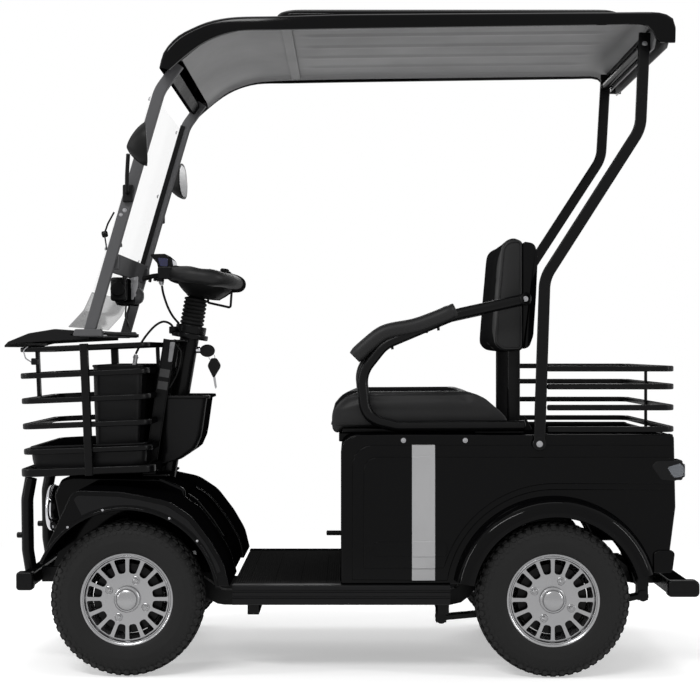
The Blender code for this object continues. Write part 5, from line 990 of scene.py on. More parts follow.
for _, sign in SIDES:
    y = sign * 0.115
    foot, top = Vector((-0.556, y, 0.506)), Vector((-0.4985, y, 0.88))
    along = (top - foot).normalized()
    flat = Vector((along.z, 0, -along.x))
    column.sweep([foot, top], bar(0.034, 0.006, 0.0018), flat)
    for edge in (0.0155, -0.0155):
        column.sweep([foot + flat * edge, top + flat * edge], bar(0.0035, 0.011, 0.0012), flat)
    for share in (0.06, 0.93):
        column.bolt(foot.lerp(top, share) + Vector((0, sign * 0.003, 0)), (0, sign, 0), 0.005, 0.004)
for z in (0.655, 0.79):
    spot = column_at(z)
    front_x = -0.556 + (z - 0.506) * 0.1524
    for _, sign in SIDES:
        column.block(sign, (spot.x - 0.02, spot.x - 0.016), (0.0, 0.024), (z - 0.009, z + 0.009), 0.001)
        column.sweep([(front_x, sign * 0.115, z), (spot.x - 0.02, sign * 0.02, z)], bar(0.0035, 0.018, 0.001),
                     (1, 0, 0))
column.piece("column_frame", STEEL, replaces=("column",))
strip = Kit()
for low, high in ((0.742, 0.764), (0.776, 0.798)):
    line = [(-0.556 + (z - 0.506) * 0.1539, -0.1186, z) for z in (low, high)]
    strip.sweep(line, bar(0.03, 0.0012, 0.0004), (0.988, 0, -0.15))
strip.piece("column_strips", BAND)
lock = Kit()
line = [(-0.503, 0.818, 0.003), (-0.492, 0.818, 0.003), (-0.483, 0.873, 0.003), (-0.497, 0.873, 0.003)]
lock.slab(bend(line, True, 4), -0.124, -0.119, bevel=0.0008)
lock.lathe(((0.003, 0.0), (0.0052, 0.0), (0.0052, 0.0022), (0.003, 0.0022)), (-0.493, -0.1262, 0.856), "Y",
           24)
lock.piece("lock_plate", GEAR)
line = ((-0.485, -0.1215, 0.87), (-0.467, -0.1225, 0.8455), (-0.476, -0.1225, 0.79), (-0.499, -0.1215, 0.746))
Kit().tube(spaced(line, 24), 0.0016, 10).piece("column_wire", RUBBER)
collar = Kit().lathe(((0.0368, 0.0), (0.042, 0.0), (0.043, 0.002), (0.043, 0.02), (0.0415, 0.0225),
                      (0.0368, 0.0225)), (0, 0, 0), "Z", 56,
                     matrix=on_column(0.8985))
collar.box((-0.514, -0.016, 0.8975), (-0.488, 0.016, 0.918), 0.003, 3)
collar.rod((-0.503, -0.023, 0.908), (-0.503, 0.023, 0.908), 0.0055, 6, 0.0008)
collar.piece("clamp_collar", STEEL)

store = Kit()
STORE_FRONT = -0.5275
WALL = 0.0035
STORE_REAR = ((0.535, -0.52), (0.545, -0.474), (0.56, -0.452), (0.575, -0.429), (0.612, -0.413),
              (0.735, -0.396))


def along_line(line, goal):
    """The second value of a line at a goal for its first one."""
    for (a, b), (c, d) in zip(line, line[1:]):
        if goal <= c:
            return b + (d - b) * (goal - a) / (c - a)
    return line[-1][1]


outer_rings, inner_rings = [], []
for z in (0.5365, 0.541, 0.548, 0.558, 0.568, 0.578, 0.59, 0.608, 0.63, 0.66, 0.69, 0.708, 0.718):
    back = along_line(STORE_REAR, z)
    middle, half = (STORE_FRONT + back) / 2, (back - STORE_FRONT) / 2
    corner = min(0.024 if z > 0.56 else 0.018, half * 0.9)
    outer_rings.append(oblong(middle, half, 0.105, corner, z))
    if z > 0.547:
        inner_rings.append(oblong(middle, half - WALL, 0.105 - WALL, corner - WALL, z))
store.skin(outer_rings + inner_rings[::-1])
rim = oblong(-0.46, 0.0675, 0.1062, 0.026, 0.7205, 8)
store.sweep(rim, bar(0.0085, 0.0065, 0.0025), (0, 0, 1), closed=True)
store.piece("store_bin", SATIN, slot="gloss_black_plastic", replaces=("column_bin",))

keys = Kit()
face = column_at(0.851, 0.0275)
keys.rod(face - Vector((0.004, 0, 0)), face + Vector((0.01, 0, 0)), 0.0095, 28, 0.001)
keys.piece("key_lock", CHROME)
fob = Kit()
fob.slab([(face.x + 0.029 + 0.0215 * c, 0.849 + 0.018 * s) for c, s in circle(1.0, 40)], -0.006, 0.006,
         bevel=0.0035, segments=4)
for x, z in ((0.02, 0.8455), (0.028, 0.8545), (0.03, 0.8415), (0.039, 0.8505)):
    fob.rod((face.x + x, -0.0054, z), (face.x + x, -0.0068, z), 0.0024, 12, 0.0004)
leaf = bend(((face.x + 0.047, 0.769, 0.004), (face.x + 0.069, 0.806, 0.014), (face.x + 0.056, 0.828, 0.008),
             (face.x + 0.04, 0.828, 0.008), (face.x + 0.029, 0.806, 0.014)), True, 6)
fob.slab(leaf, -0.005, 0.005, bevel=0.003, segments=4)
fob.piece("key_fobs", MATT, replaces=tuple(n for n in NODES if "key" in n))
metal = Kit()
loop = [(face.x + 0.042 + 0.0085 * c, 0.0015 * s, 0.831 + 0.0095 * s) for c, s in circle(1.0, 24)]
metal.tube(loop, 0.001, 8, closed=True)
metal.slab(((face.x + 0.045, 0.775), (face.x + 0.052, 0.775), (face.x + 0.056, 0.746), (face.x + 0.053, 0.74),
            (face.x + 0.05, 0.746)),
           -0.0009, 0.0009, bevel=0.0003)
metal.piece("key_blade", ZINC)

# Boot and steering head

boot = Kit()
profile = [(0.0, -0.001)]
for i in range(8):
    low = i * 0.0112
    swell = 0.0345 - 0.0002 * i
    profile += [(swell - 0.0048, low), (swell - 0.001, low + 0.0026), (swell, low + 0.0056),
                (swell - 0.0012, low + 0.0086)]
profile += [(0.0215, 0.09), (0.02, 0.091), (0.0175, 0.091), (0.0175, 0.088), (0.0, 0.088)]
boot.lathe(profile, (0, 0, 0), "Z", 56, matrix=on_column(0.9115))
boot.piece("bellows_boot", RUBBER, "tiller", ("bellows",), angle=60)

TILT = 8
HEAD = placed((-0.4085, 0, 1.052), TILT, "Y")
head = Kit()


def head_ring(half_x, half_y, power, rise, count):
    """A rounded oval, level in the head's own frame."""
    spots = [squarish(2 * math.pi * i / count, power) for i in range(count)]
    return [Vector((half_x * a, half_y * b, rise)) for a, b in spots]


GRIP_POINTS = 96
grip = head_ring(0.0885, 0.1825, 2.5, 0.0, GRIP_POINTS)
waves = [math.sin(9 * 2 * math.pi * i / GRIP_POINTS) for i in range(GRIP_POINTS)]
sizes = [1.0 + 0.05 * wave * (abs(p.y) > 0.11) for wave, p in zip(waves, grip)]
head.tube(grip, 0.0222, 28, closed=True, sizes=sizes, matrix=HEAD)
head.piece("grip_loop", VINYL, "tiller", ("console",), angle=60)
pod = Kit()
POD = ((0.3, -0.0555), (0.42, -0.054), (0.46, -0.05), (0.56, -0.042), (0.68, -0.03), (0.78, -0.015),
       (0.815, -0.003), (0.815, 0.006), (0.79, 0.013), (0.765, 0.0165), (0.755, 0.0155), (0.74, 0.0155),
       (0.725, 0.018), (0.66, 0.0215), (0.4, 0.0235))
pod.skin([head_ring(0.10605 * share, 0.111 * share, 2.8, rise, 64) for share, rise in POD], matrix=HEAD)
for _, sign in SIDES:
    spoke = [(0.0, sign * y, z) for y, z in ((0.07, -0.004), (0.125, -0.003), (0.165, -0.001))]
    pod.sweep(spoke, bar(0.06, 0.018, 0.006), (1, 0, 0), matrix=HEAD)
    pod.sweep([(sign * 0.055, 0, -0.004), (sign * 0.083, 0, -0.002)], bar(0.068, 0.018, 0.006), (0, 1, 0),
              matrix=HEAD)
pod.lathe(((0.0, 0.0), (0.024, 0.0), (0.029, 0.004), (0.033, 0.014), (0.035, 0.026), (0.0, 0.026)), (0, 0, 0),
          "Z", 40, matrix=on_column(1.0005))
for u, v in ((-0.02, -0.07), (-0.02, 0.07), (0.045, -0.06), (0.045, 0.06)):
    pod.rod(HEAD @ Vector((u, v, 0.021)), HEAD @ Vector((u, v, 0.0245)), 0.0052, 16, 0.0008)
pod.piece("head_pod", MATT, "tiller", angle=40)
trim = Kit()
for y, radius, high in ((-0.048, 0.0115, 0.014), (0.048, 0.01, 0.012)):
    trim.rod(HEAD @ Vector((0.052, y, 0.0215)), HEAD @ Vector((0.052, y, 0.0215 + high)), radius, 36, 0.0022)
    for a, b in circle(radius, 18):
        foot, top = ((0.052 + a, y + b, z) for z in (0.0225, 0.019 + high))
        trim.rod(HEAD @ Vector(foot), HEAD @ Vector(top), 0.001, 6)
for y in (-0.02, 0.0, 0.02):
    spot = placed(HEAD @ Vector((0.012, y, 0.024)), TILT, "Y")
    trim.box((-0.009, -0.0065, -0.003), (0.009, 0.0065, 0.0035), 0.0016, 2, matrix=spot)
    trim.box((-0.0075, -0.005, 0.003), (0.0, 0.005, 0.0062), 0.0012, 2, matrix=spot)
trim.piece("head_controls", STEEL, "tiller")
screen = Kit()
shape = bend(((-0.518, 1.072, 0.006), (-0.538, 1.075, 0.005), (-0.542, 1.095, 0.01), (-0.5605, 1.116, 0.004),
              (-0.559, 1.1205, 0.002), (-0.519, 1.1215, 0.008), (-0.502, 1.106, 0.006),
              (-0.498, 1.085, 0.006)), True, 6)
screen.slab(shape, -0.06, 0.06, bevel=0.0035, segments=4)
screen.box((-0.53, -0.0215, 1.0625), (-0.49, 0.0215, 1.076), 0.003, 3)
screen.piece("display_case", MATT, "tiller", ("display",))
BLUE = look("display_blue", (0.004, 0.006, 0.06), 0.12, spec=0.5, tint=0.3, rough_range=0.03)
window = ((-0.533, 1.087, 0.003), (-0.512, 1.085, 0.003), (-0.511, 1.108, 0.003), (-0.54, 1.11, 0.003))
pane = Kit().slab(bend(window, True, 4), -0.0612, -0.059, bevel=0.0006)
pane.slab(((-0.501, 1.087), (-0.4968, 1.0862), (-0.5005, 1.1055), (-0.505, 1.105)), -0.05, 0.05, bevel=0.001)
pane.piece("display_window", BLUE, "tiller", slot="gloss_black_plastic")
u_loop = ((-0.4016, -0.028, 1.03, 0.01), (-0.4016, -0.028, 0.985, 0.005), (-0.338, -0.028, 0.9708, 0.005),
          (-0.335, -0.028, 1.015, 0.01))
under = Kit().tube(bend(u_loop, segments=5), 0.0034, 14)
under.box((-0.41, -0.033, 1.008), (-0.3935, -0.023, 1.018), 0.002)
under.piece("tilt_loop", STEEL, "tiller")

lever = Kit()
lever.slab(plate((-0.529, -0.488), (1.0465, 1.08), 0.004, 0.006, 0.006, 0.006), -0.1435, -0.1165, bevel=0.003)
blade = ((-0.52, -0.13, 1.058, 0.01), (-0.548, -0.122, 1.0545, 0.02), (-0.565, -0.104, 1.051, 0.02),
         (-0.5735, -0.09, 1.0492, 0.01))
lever.sweep(bend(blade, segments=5), bar(0.013, 0.0105, 0.004), (0, 0, 1), cap=0.005)
for x, y, z in ((-0.539, -0.126, 1.048), (-0.554, -0.118, 1.045)):
    lever.rod((x + 0.002, y, z + 0.006), (x, y, z - 0.0065), 0.0044, 12, 0.001)
lever.rod((-0.523, -0.13, 1.04), (-0.523, -0.13, 1.0495), 0.0105, 20, 0.001)
lever.piece("lever_body", STEEL, "tiller", ("brake_lever",))
nuts = Kit()
nuts.rod((-0.522, -0.13, 1.048), (-0.519, -0.13, 1.03), 0.0055, 6, 0.0008)
nuts.rod((-0.5205, -0.13, 1.039), (-0.5198, -0.13, 1.035), 0.0075, 20, 0.0008)
nuts.piece("lever_adjuster", ZINC, "tiller")


# Seat

VOXEL = 0.006
FRAMES = 20


def plump(kit, name, stands_for, pinned, cap):
    """A stuffed form: blown up as cloth over its pinned parts, each point held to a cap, then smoothed."""
    data = bpy.data.meshes.new(name)
    kit.bm.to_mesh(data)
    kit.bm.free()
    data.materials.append(VINYL)
    made = bpy.data.objects.new(name, data)
    scene.collection.objects.link(made)
    grid = made.modifiers.new("grid", "REMESH")
    grid.mode = "VOXEL"
    grid.voxel_size = VOXEL
    even = made.modifiers.new("even", "SMOOTH")
    even.factor, even.iterations = 0.5, 3
    bpy.context.view_layer.update()
    made.data = bpy.data.meshes.new_from_object(made.evaluated_get(bpy.context.evaluated_depsgraph_get()))
    made.data.name = name
    made.modifiers.clear()
    start = [v.co.copy() for v in made.data.vertices]
    group = made.vertex_groups.new(name="held")
    for vertex in made.data.vertices:
        group.add([vertex.index], pinned(vertex.co), "REPLACE")
    cloth = made.modifiers.new("cloth", "CLOTH")
    rules = cloth.settings
    rules.vertex_group_mass = "held"
    rules.use_pressure = True
    rules.uniform_pressure_force = 4.0
    rules.effector_weights.gravity = 0.0
    rules.tension_stiffness = rules.compression_stiffness = 18.0
    rules.bending_stiffness = 1.5
    rules.quality = 5
    cloth.collision_settings.use_self_collision = False
    for number in range(1, FRAMES + 1):
        scene.frame_set(number)
    blown = made.evaluated_get(bpy.context.evaluated_depsgraph_get())
    ends = [v.co.copy() for v in blown.data.vertices]
    made.modifiers.clear()
    made.vertex_groups.clear()
    scene.frame_set(1)
    for vertex, first, last in zip(made.data.vertices, start, ends):
        move = last - first
        vertex.co = first + (move * (cap / move.length) if move.length > cap else move)
    made.data.shade_smooth()
    finer = made.modifiers.new("finer", "SUBSURF")
    finer.levels = finer.render_levels = 1
    bpy.context.view_layer.update()
    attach(made, "chassis")
    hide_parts(stands_for)
    return made


PIPING_LIFT = 0.0008


def seam(made, points, name, radius=0.0026):
    """Piping that lies on a form, along the places nearest to a closed line."""
    data = made.data
    tree = BVHTree.FromPolygons([v.co for v in data.vertices], [p.vertices for p in data.polygons])
    line = []
    for p in points:
        spot, normal = tree.find_nearest(Vector(p))[:2]
        line.append(spot + normal * PIPING_LIFT)
    for _ in range(3):
        line = [(line[i - 1] + line[i] * 2 + line[(i + 1) % len(line)]) / 4 for i in range(len(line))]
    Kit().tube(line, radius, 10, closed=True).piece(name, VINYL)


def dense(points, step=0.008):
    """The points of a closed line at about equal steps."""
    made = []
    for i, here in enumerate(points):
        there = Vector(points[(i + 1) % len(points)])
        here = Vector(here)
        parts = max(1, round((there - here).length / step))
        made += [here.lerp(there, k / parts) for k in range(parts)]
    return made


seat = Kit()
seat_line = bend(((-0.048, 0.629, 0.014), (-0.048, 0.733, 0.06), (0.356, 0.735, 0.075), (0.423, 0.668, 0.04),
                  (0.423, 0.6425, 0.008), (-0.023, 0.6425, 0.004), (-0.025, 0.629, 0.004)), True, 10)
seat.slab(seat_line, -0.247, 0.247, bevel=0.026, segments=6)


def seat_hold(p):
    """The underside is fixed, and the line round the sides holds most of its place."""
    if p.z < 0.652:
        return 1.0
    inner = abs(p.y) < 0.225 and -0.03 < p.x < 0.4
    return 0.6 if abs(p.z - 0.69) < 0.005 and not inner else 0.05


cushion = plump(seat, "cushion", "seat_cushion", seat_hold, 0.0065)
seam(cushion, dense(oblong(0.187, 0.238, 0.252, 0.03, 0.652, 8)), "cushion_hem", 0.0022)

back_pad = Kit()
back_line = bend(((0.387, 0.866, 0.028), (0.3985, 1.01, 0.2), (0.411, 1.148, 0.032), (0.445, 1.154, 0.025),
                  (0.467, 1.143, 0.01), (0.467, 0.849, 0.01), (0.41, 0.849, 0.03)), True, 8)
back_pad.slab(back_line, -0.226, 0.226, bevel=0.013, segments=4)


def back_hold(p):
    if p.x > 0.458:
        return 1.0
    return 0.7 if abs(abs(p.y) - 0.216) < 0.004 and p.x < 0.425 else 0.02


back_rest = plump(back_pad, "back_cushion", "seat_back", back_hold, 0.01)
for side_name, sign in SIDES:
    edge = bend(((0.39, 0.869, 0.02), (0.4015, 1.01, 0.2), (0.414, 1.144, 0.03), (0.462, 1.143, 0.01),
                 (0.462, 0.854, 0.01), (0.413, 0.854, 0.025)), True, 8)
    seam(back_rest, dense([(x, sign * 0.227, z) for x, z in edge]), f"back_piping_{side_name}")
shell = Kit()
shell_line = bend(((0.466, 0.855, 0.004), (0.466, 1.143, 0.006), (0.496, 1.138, 0.018), (0.505, 1.105, 0.06),
                   (0.5005, 1.0, 0.2), (0.493, 0.89, 0.04), (0.48, 0.853, 0.018)), True, 8)
shell.slab(shell_line, -0.229, 0.229, bevel=0.012, segments=5)
for z in (0.935, 1.06):
    for _, sign in SIDES:
        shell.bolt((0.501 if z > 1 else 0.4955, sign * 0.15, z), (1, 0, 0), 0.006, 0.003)
shell.piece("back_shell", GLOSS)

ARM_Y = 0.285
ARM_LINE = ((0.46, 0.65, 0.01), (0.125, 0.648, 0.05), (0.042, 0.67, 0.06), (0.03, 0.79, 0.08),
            (0.09, 0.866, 0.09), (0.275, 0.944, 0.3), (0.466, 0.986, 0.01))
PAD_LINE = ((0.0119, 0.8312), (0.0424, 0.8605), (0.0927, 0.8975), (0.1721, 0.9145), (0.2383, 0.9385),
            (0.274, 0.955))
PAD_STEPS = 40
clamp_line = bend(((0.43, 0.63, 0.004), (0.502, 0.63, 0.004), (0.478, 0.672, 0.01), (0.452, 0.672, 0.01)),
                  True, 4)
arms = Kit().box((-0.021, -0.235, 0.6295), (0.464, 0.235, 0.641), 0.002)
bolts = Kit()
for _, sign in SIDES:
    y = sign * ARM_Y
    arms.tube(bend([(x, y, z, r) for x, z, r in ARM_LINE], segments=9), 0.0152, 24, cap=0.006)
    arms.wing(clamp_line, sign, 0.144, 0.156, 0.0015)
    arms.block(sign, (0.432, 0.465), (0.135, 0.165), (0.63, 0.938), 0.004, 3)
    arms.block(sign, (0.33, 0.46), (0.23, 0.289), (0.63, 0.6385), 0.002)
    arms.rod((0.462, sign * 0.2285, 0.986), (0.462, sign * 0.287, 0.986), 0.01, 24, 0.001)
    washer = ((0.01, -0.0035), (0.0165, -0.0035), (0.018, 0.0), (0.0165, 0.0035), (0.01, 0.0035))
    arms.lathe(washer, (0, 0, 0), "Y", 32, matrix=placed((0.464, sign * 0.296, 0.986), -28 * sign, "Z"))
    for x, z in ((0.111, 0.86), (0.233, 0.91)):
        arms.rod((x, y, z + 0.01), (x + 0.0015, y, z - 0.0075), 0.0036, 12, 0.0006)
    bolts.bolt((0.463, sign * 0.2985, 0.986), (0, sign, 0), 0.0055, 0.004)
arms.piece("arm_tubes", STEEL, replaces=("seat_frame",))
bolts.piece("arm_bolts", ZINC)
for side_name, sign in SIDES:
    pad_line = spaced(PAD_LINE, PAD_STEPS)
    rings = []
    for i, p in enumerate(pad_line):
        before, after = pad_line[max(0, i - 1)], pad_line[min(PAD_STEPS - 1, i + 1)]
        ahead = (after - before).normalized()
        up = Vector((-ahead.y, ahead.x))
        share = min(1.0, 0.86 + 0.07 * min(i, PAD_STEPS - 1 - i))
        spots = [squarish(2 * math.pi * k / 28, 2.4) for k in range(28)]
        spots = [(p + up * b * 0.0208 * share, sign * ARM_Y + a * 0.0235 * share) for a, b in spots]
        rings.append([Vector((spot.x, y, spot.y)) for spot, y in spots])
    pad = Kit().skin(rings)
    end_ring = ((0.01, -0.006), (0.02, -0.006), (0.0215, -0.003), (0.0215, 0.003), (0.02, 0.006),
                (0.01, 0.006))
    pad.lathe(end_ring, (0, 0, 0), "X", 32, matrix=placed((0.275, sign * ARM_Y, 0.953), -23, "Y"))
    made = pad.piece(f"arm_cover_{side_name}", VINYL, replaces=(f"arm_pad_{side_name}",),
                     slot="matt_black_plastic", angle=70, weighted=False)
    trim = Kit()
    for away in (-0.02013, 0.02013):
        line = [Vector((p.x + 0.004, sign * ARM_Y + away, p.y - 0.0085)) for p in pad_line[5:36]]
        trim.tube(line, 0.0014, 8, cap=0.001)
    trim.piece(f"arm_seam_{side_name}", THREAD)

# Windscreen, its posts, panel, sheet and wiper

SCREEN = ((-0.688, 0.896), (-0.5875, 1.244), (-0.502, 1.535), (-0.452, 1.604))


def screen_x(z):
    """The posts' X at a height."""
    return along_line([(high, x) for x, high in SCREEN], z)


POST_Y = 0.3
foot_line = ((-0.73, 0.888, 0.004), (-0.65, 0.888, 0.004), (-0.656, 0.906, 0.004), (-0.724, 0.906, 0.004))
posts = Kit()
for _, sign in SIDES:
    path = bend([(x, sign * POST_Y, z, 0.1) for x, z in SCREEN], segments=10)
    posts.sweep(path, bar(0.02, 0.0295, 0.0028), (0, 1, 0))
    posts.wing(bend(foot_line, True, 3), sign, 0.285, 0.313)
    x = screen_x(1.083)
    posts.block(sign, (x - 0.01, x + 0.022), (0.262, 0.292), (1.065, 1.101), 0.003)
posts.box((-0.716, -POST_Y, 0.8868), (-0.672, POST_Y, 0.903), 0.003, 3)
foot, top = (Vector((screen_x(z) + 0.003, 0, z)) for z in (1.058, 1.109))
middle = (foot + top) / 2
panel = [(middle.x, y, middle.z) for y in (-0.297, 0.297)]
posts.sweep(panel, bar((top - foot).length, 0.012, 0.0035), top - foot)
posts.piece("screen_posts", POST, replaces=("windscreen_frame",))
rail = Kit()
rail.sweep([(-0.472, -0.29, 1.586), (-0.472, 0.29, 1.586)], bar(0.032, 0.014, 0.0035), (0.58, 0, 0.81))
for _, sign in SIDES:
    path = [(x - 0.008, sign * 0.2885, z, 0.1) for x, z in ((screen_x(1.065), 1.065), *SCREEN[1:3])]
    rail.sweep(bend(path, segments=8), bar(0.003, 0.014, 0.0008), (0, 1, 0))
rail.piece("screen_rail", STEEL)
motor = Kit()
motor.box((-0.654, -0.074, 0.976), (-0.601, 0.009, 1.033), 0.007, 4)
motor.box((-0.655, -0.17, 0.985), (-0.61, -0.08, 1.05), 0.008, 4)
motor.rod((-0.633, -0.17, 1.018), (-0.633, -0.18, 1.018), 0.02, 28, 0.002)
motor.box((-0.64, -0.056, 1.028), (-0.633, -0.01, 1.066), 0.002)
motor.rod((-0.63, -0.09, 1.018), (-0.63, -0.072, 1.018), 0.016, 28, 0.002)
motor.rod((-0.652, -0.045, 0.99), (-0.66, -0.045, 0.986), 0.011, 24, 0.001)
for i in range(5):
    motor.box((-0.648 + i * 0.0095, -0.0765, 0.983), (-0.644 + i * 0.0095, -0.0735, 1.006), 0.0006, 1)
wires = (
    (((-0.625, -0.078, 0.98), (-0.628, -0.08, 0.945, 0.03), (-0.618, -0.079, 0.918, 0.02),
      (-0.616, -0.078, 0.908)), 0.0022),
    (((-0.615, -0.07, 0.978), (-0.623, -0.07, 0.95, 0.03), (-0.624, -0.07, 0.908)), 0.0018),
)
for line, radius in wires:
    motor.tube(bend(line), radius, 10)
motor.piece("wiper_drive", STEEL)
plate_line = ((-0.629, 0.998, 0.003), (-0.605, 0.99, 0.004), (-0.593, 1.023, 0.006), (-0.59, 1.056, 0.004),
              (-0.623, 1.049, 0.004))
silver = Kit().slab(bend(plate_line, True, 4), -0.087, -0.084, bevel=0.0008)
silver.rod((-0.612, -0.093, 1.03), (-0.612, -0.08, 1.03), 0.0075, 24, 0.001)
silver.bolt((-0.602, -0.0872, 1.005), (0, -1, 0), 0.0048, 0.004)
silver.bolt((-0.6, -0.0872, 1.044), (0, -1, 0), 0.0042, 0.004)
silver.piece("wiper_plate", ZINC)
dome = ((0.0, 0.0225), (0.01, 0.0215), (0.0175, 0.018), (0.0225, 0.011), (0.024, 0.003), (0.024, 0.0),
        (0.0, 0.0))
Kit().lathe(dome, (-0.6015, -0.056, 1.003), "X", 40).piece("wiper_cap", POST, slot="grey_plastic")

AHEAD = 0.0199
SHEET_HALF = 0.3055
SHEET_THICK = 0.0028


def sheet(corners):
    """A thin sheet across the screen, along a line in X and Z."""
    line = bend(corners, segments=8)
    return Kit().slab(line + shifted(line, SHEET_THICK)[::-1], -SHEET_HALF, SHEET_HALF, bevel=0.0006,
                      segments=2)


low, high = (screen_x(z) - AHEAD for z in (1.1, 1.53))
sheet(((-0.6785, 1.006), (-0.674, 1.02, 0.08), (low, 1.1, 0.1), (high, 1.53))).piece("screen_sheet", SHEET,
                                                                                     replaces=("windscreen",))
# Painted shade: the flare's sheet is painted mid grey and half opaque, standing in for the darker look of the
# sheet's bent lower edge.
FLARE_SHADE = look("flare_painted_shade", (0.1, 0.1, 0.105), 0.12, spec=0.3, tint=0.1, rough_range=0.03, alpha=0.5)
sheet(((-0.742, 0.913), (-0.702, 0.956, 0.05), (-0.68, 1.004))).piece("screen_flare", FLARE_SHADE,
                                                                      slot="clear_sheet")
studs = Kit()
for z in (1.12, 1.32, 1.515):
    for _, sign in SIDES:
        studs.bolt((screen_x(z) - AHEAD - 0.0015, sign * 0.292, z), (-0.96, 0, 0.28), 0.0048, 0.0035)
studs.piece("screen_studs", ZINC)

WIPER = Vector((screen_x(1.139) - 0.0231, -0.06, 1.15))


def off_wiper(*spots):
    """Points given as X and Z from the wiper's pivot."""
    return [(WIPER.x + x, WIPER.y, WIPER.z + z) for x, z in spots]


wipe = Kit().rod(*off_wiper((-0.016, -0.004), (-0.0004, 0)), 0.01, 24, 0.0015)
line = [(*p, r) for p, r in zip(off_wiper((-0.01, 0), (0.006, 0.07), (0.028, 0.14)), (0.01, 0.1, 0.01))]
wipe.tube(bend(line, segments=5), 0.0034, 12)
wipe.sweep(off_wiper((0.016, 0.11), (0.05, 0.24)), bar(0.0075, 0.0075, 0.0015), (0, 1, 0), cap=0.002)
wipe.sweep(off_wiper((0.0195, 0.1095), (0.0535, 0.2385)), bar(0.0022, 0.0062, 0.0006), (0, 1, 0))
wipe.piece("wiper_arm", MATT, replaces=("wiper",))
catch = Kit()
catch.rod((-0.656, -0.29, 1.156), (-0.6415, -0.29, 1.159), 0.0085, 24, 0.002)
hooks = (
    (((-0.65, -0.29, 1.158), (-0.64, -0.293, 1.185, 0.03), (-0.623, -0.296, 1.215)), 0.0024),
    (((-0.649, -0.29, 1.154), (-0.646, -0.293, 1.138, 0.03), (-0.642, -0.296, 1.115)), 0.002),
)
for line, radius in hooks:
    catch.tube(bend(line), radius, 10)
catch.piece("screen_catch", STEEL)


for side_name, sign in SIDES:
    kit = Kit()
    place = placed((-0.527, sign * 0.405, 1.379), -10 * sign, "Z") @ placed((0, 0, 0), -3, "Y")
    rings = []
    for t in (0.0, 0.02, 0.1, 0.22, 0.36, 0.5, 0.64, 0.77, 0.88, 0.95, 0.99):
        share = (1 - t ** 1.4) ** 0.72
        wide, high = 0.046 * (0.15 + 0.85 * share), 0.056 * share
        spots = [squarish(2 * math.pi * k / 40, 2.3) for k in range(40)]
        rings.append([Vector((0.004 - 0.05 * t, a * wide, b * high - 0.006 * t)) for a, b in spots])
    rings.insert(0, [Vector((0.003, p.y * 0.93, p.z * 0.94)) for p in rings[0]])
    kit.skin(rings, matrix=place)
    stem = ((-0.583, 0.322, 1.262), (-0.5825, 0.34, 1.268, 0.012), (-0.579, 0.36, 1.305, 0.02),
            (-0.572, 0.385, 1.356))
    kit.tube(bend([(x, sign * y, *rest) for x, y, *rest in stem]), 0.0052)
    kit.block(sign, (-0.5965, -0.569), (0.3105, 0.325), (1.239, 1.285), 0.004, 3)
    kit.piece(f"mirror_body_{side_name}", MATT, replaces=(f"mirror_{side_name}",), angle=50)
    oval = [(0.04 * a, 0.049 * b) for a, b in spots]
    glass = Kit().slab(oval, 0.0032, 0.0052, "X", bevel=0.0008, matrix=place)
    glass.piece(f"mirror_glass_{side_name}", MIRROR)
    bolts = Kit()
    bolts.bolt((-0.593, sign * 0.3095, 1.219), (0, sign, 0), 0.0042, 0.0045)
    bolts.bolt((-0.603, sign * 0.3095, 1.207), (0, sign, 0), 0.0036, 0.004)
    bolts.piece(f"mirror_bolts_{side_name}", ZINC)

# Small parts on the basket and the cowl

hinge = Kit()
hinge.box((-0.75, -0.248, 0.888), (-0.65, -0.23, 0.896), 0.002)
for i in range(4):
    hinge.bolt((-0.74 + i * 0.026, -0.239, 0.896), (0, 0, 1), 0.0042, 0.0035)
hook = ((-0.856, -0.229, 0.818), (-0.872, -0.23, 0.828, 0.01), (-0.878, -0.231, 0.85, 0.01),
        (-0.865, -0.231, 0.86))
hinge.tube(bend(hook, segments=5), 0.0018, 10)
hinge.piece("cowl_hinge", ZINC)
catch = Kit()
catch.tube([(-0.66, -0.244, 0.8935), (-0.61, -0.244, 0.8925), (-0.566, -0.244, 0.889)], 0.0045, 16)
catch.box((-0.856, -0.238, 0.811), (-0.838, -0.224, 0.829), 0.003, 3)
catch.piece("cowl_rod", STEEL)

# Floor

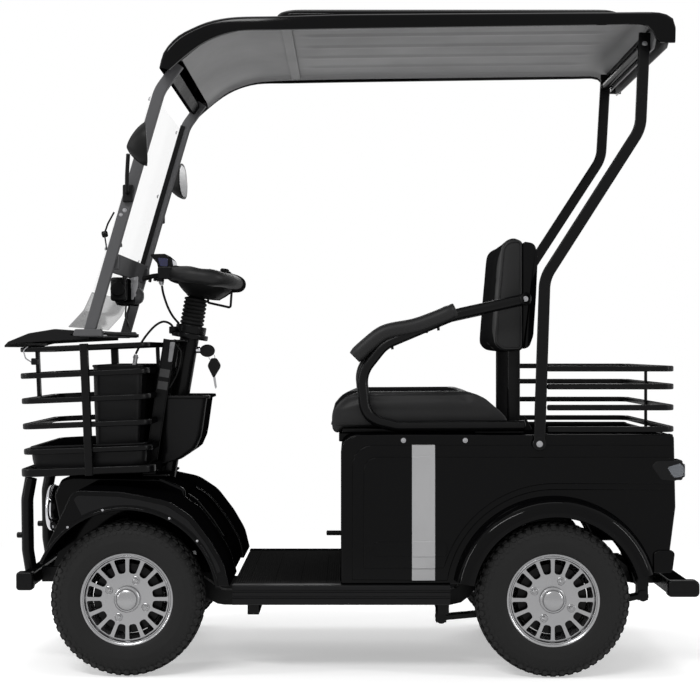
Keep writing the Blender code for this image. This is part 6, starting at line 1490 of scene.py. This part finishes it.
mat = Kit()
mat_line = ((-0.3075, -0.3105, 0.012), (-0.0275, -0.3105), (-0.0275, 0.3105), (-0.3075, 0.3105, 0.012))
mat.slab(bend(mat_line, True, 5), 0.2315, 0.235, "Z", bevel=0.001)
for i in range(44):
    x = -0.302 + i * 0.00625
    tall = 0.0022 if i % 11 == 5 else 0.001
    mat.sweep([(x, -0.305, 0.2352), (x, 0.305, 0.2352)], bar(0.003, tall * 2, 0.0006), (1, 0, 0))
mat.piece("floor_ribs", MAT, replaces=("floor_mat",))

SILL_BACK, SILL_FACE, SILL_GROOVE = 0.3114, 0.345, 0.3425
profile = [(SILL_BACK, 0.186), (0.343, 0.186), (SILL_FACE, 0.188)]
for z in (0.202, 0.218, 0.234):
    profile += [(SILL_FACE, z), (SILL_GROOVE, z + 0.0015), (SILL_GROOVE, z + 0.0055), (SILL_FACE, z + 0.007)]
profile = profile[:-3] + [(0.3435, 0.2365), (0.3405, 0.238), (SILL_BACK, 0.238)]
for side_name, sign in SIDES:
    bar_shape = Kit().slab([(sign * y, z) for y, z in profile], -0.3075, 0.262, "X", bevel=0.0006, segments=2)
    bar_shape.piece(f"sill_bar_{side_name}", SATIN, replaces=(f"sill_{side_name}",))

# Cables

CORD = 0.0064


def cable(name, points, diameter, body, node):
    path = spaced(points, 32)
    made = Kit().tube(path, diameter / 2, 12).piece(name, RUBBER, body, (node,), angle=80)


plug = Kit().rod((-0.599, -0.0697, 0.838), (-0.6033, -0.0721, 0.8065), 0.0062, 16, 0.0012)
plug.rod((-0.5995, -0.07, 0.833), (-0.6003, -0.0704, 0.828), 0.0078, 16, 0.0008)
plug = plug.piece("front_plug", ZINC)
front_route = ((-0.497, -0.028, 0.9057), (-0.507, -0.03, 0.924), (-0.528, -0.038, 0.931),
               (-0.552, -0.05, 0.916), (-0.58, -0.062, 0.88), (-0.6, -0.07, 0.84))
cable("front_line", front_route, CORD, "chassis", "front_cable")
brake_route = ((-0.5188, -0.13, 1.029), (-0.515, -0.126, 1.005), (-0.506, -0.1, 0.97),
               (-0.496, -0.068, 0.945), (-0.484, -0.036, 0.927))
cable("brake_line", brake_route, CORD, "tiller", "brake_cable")
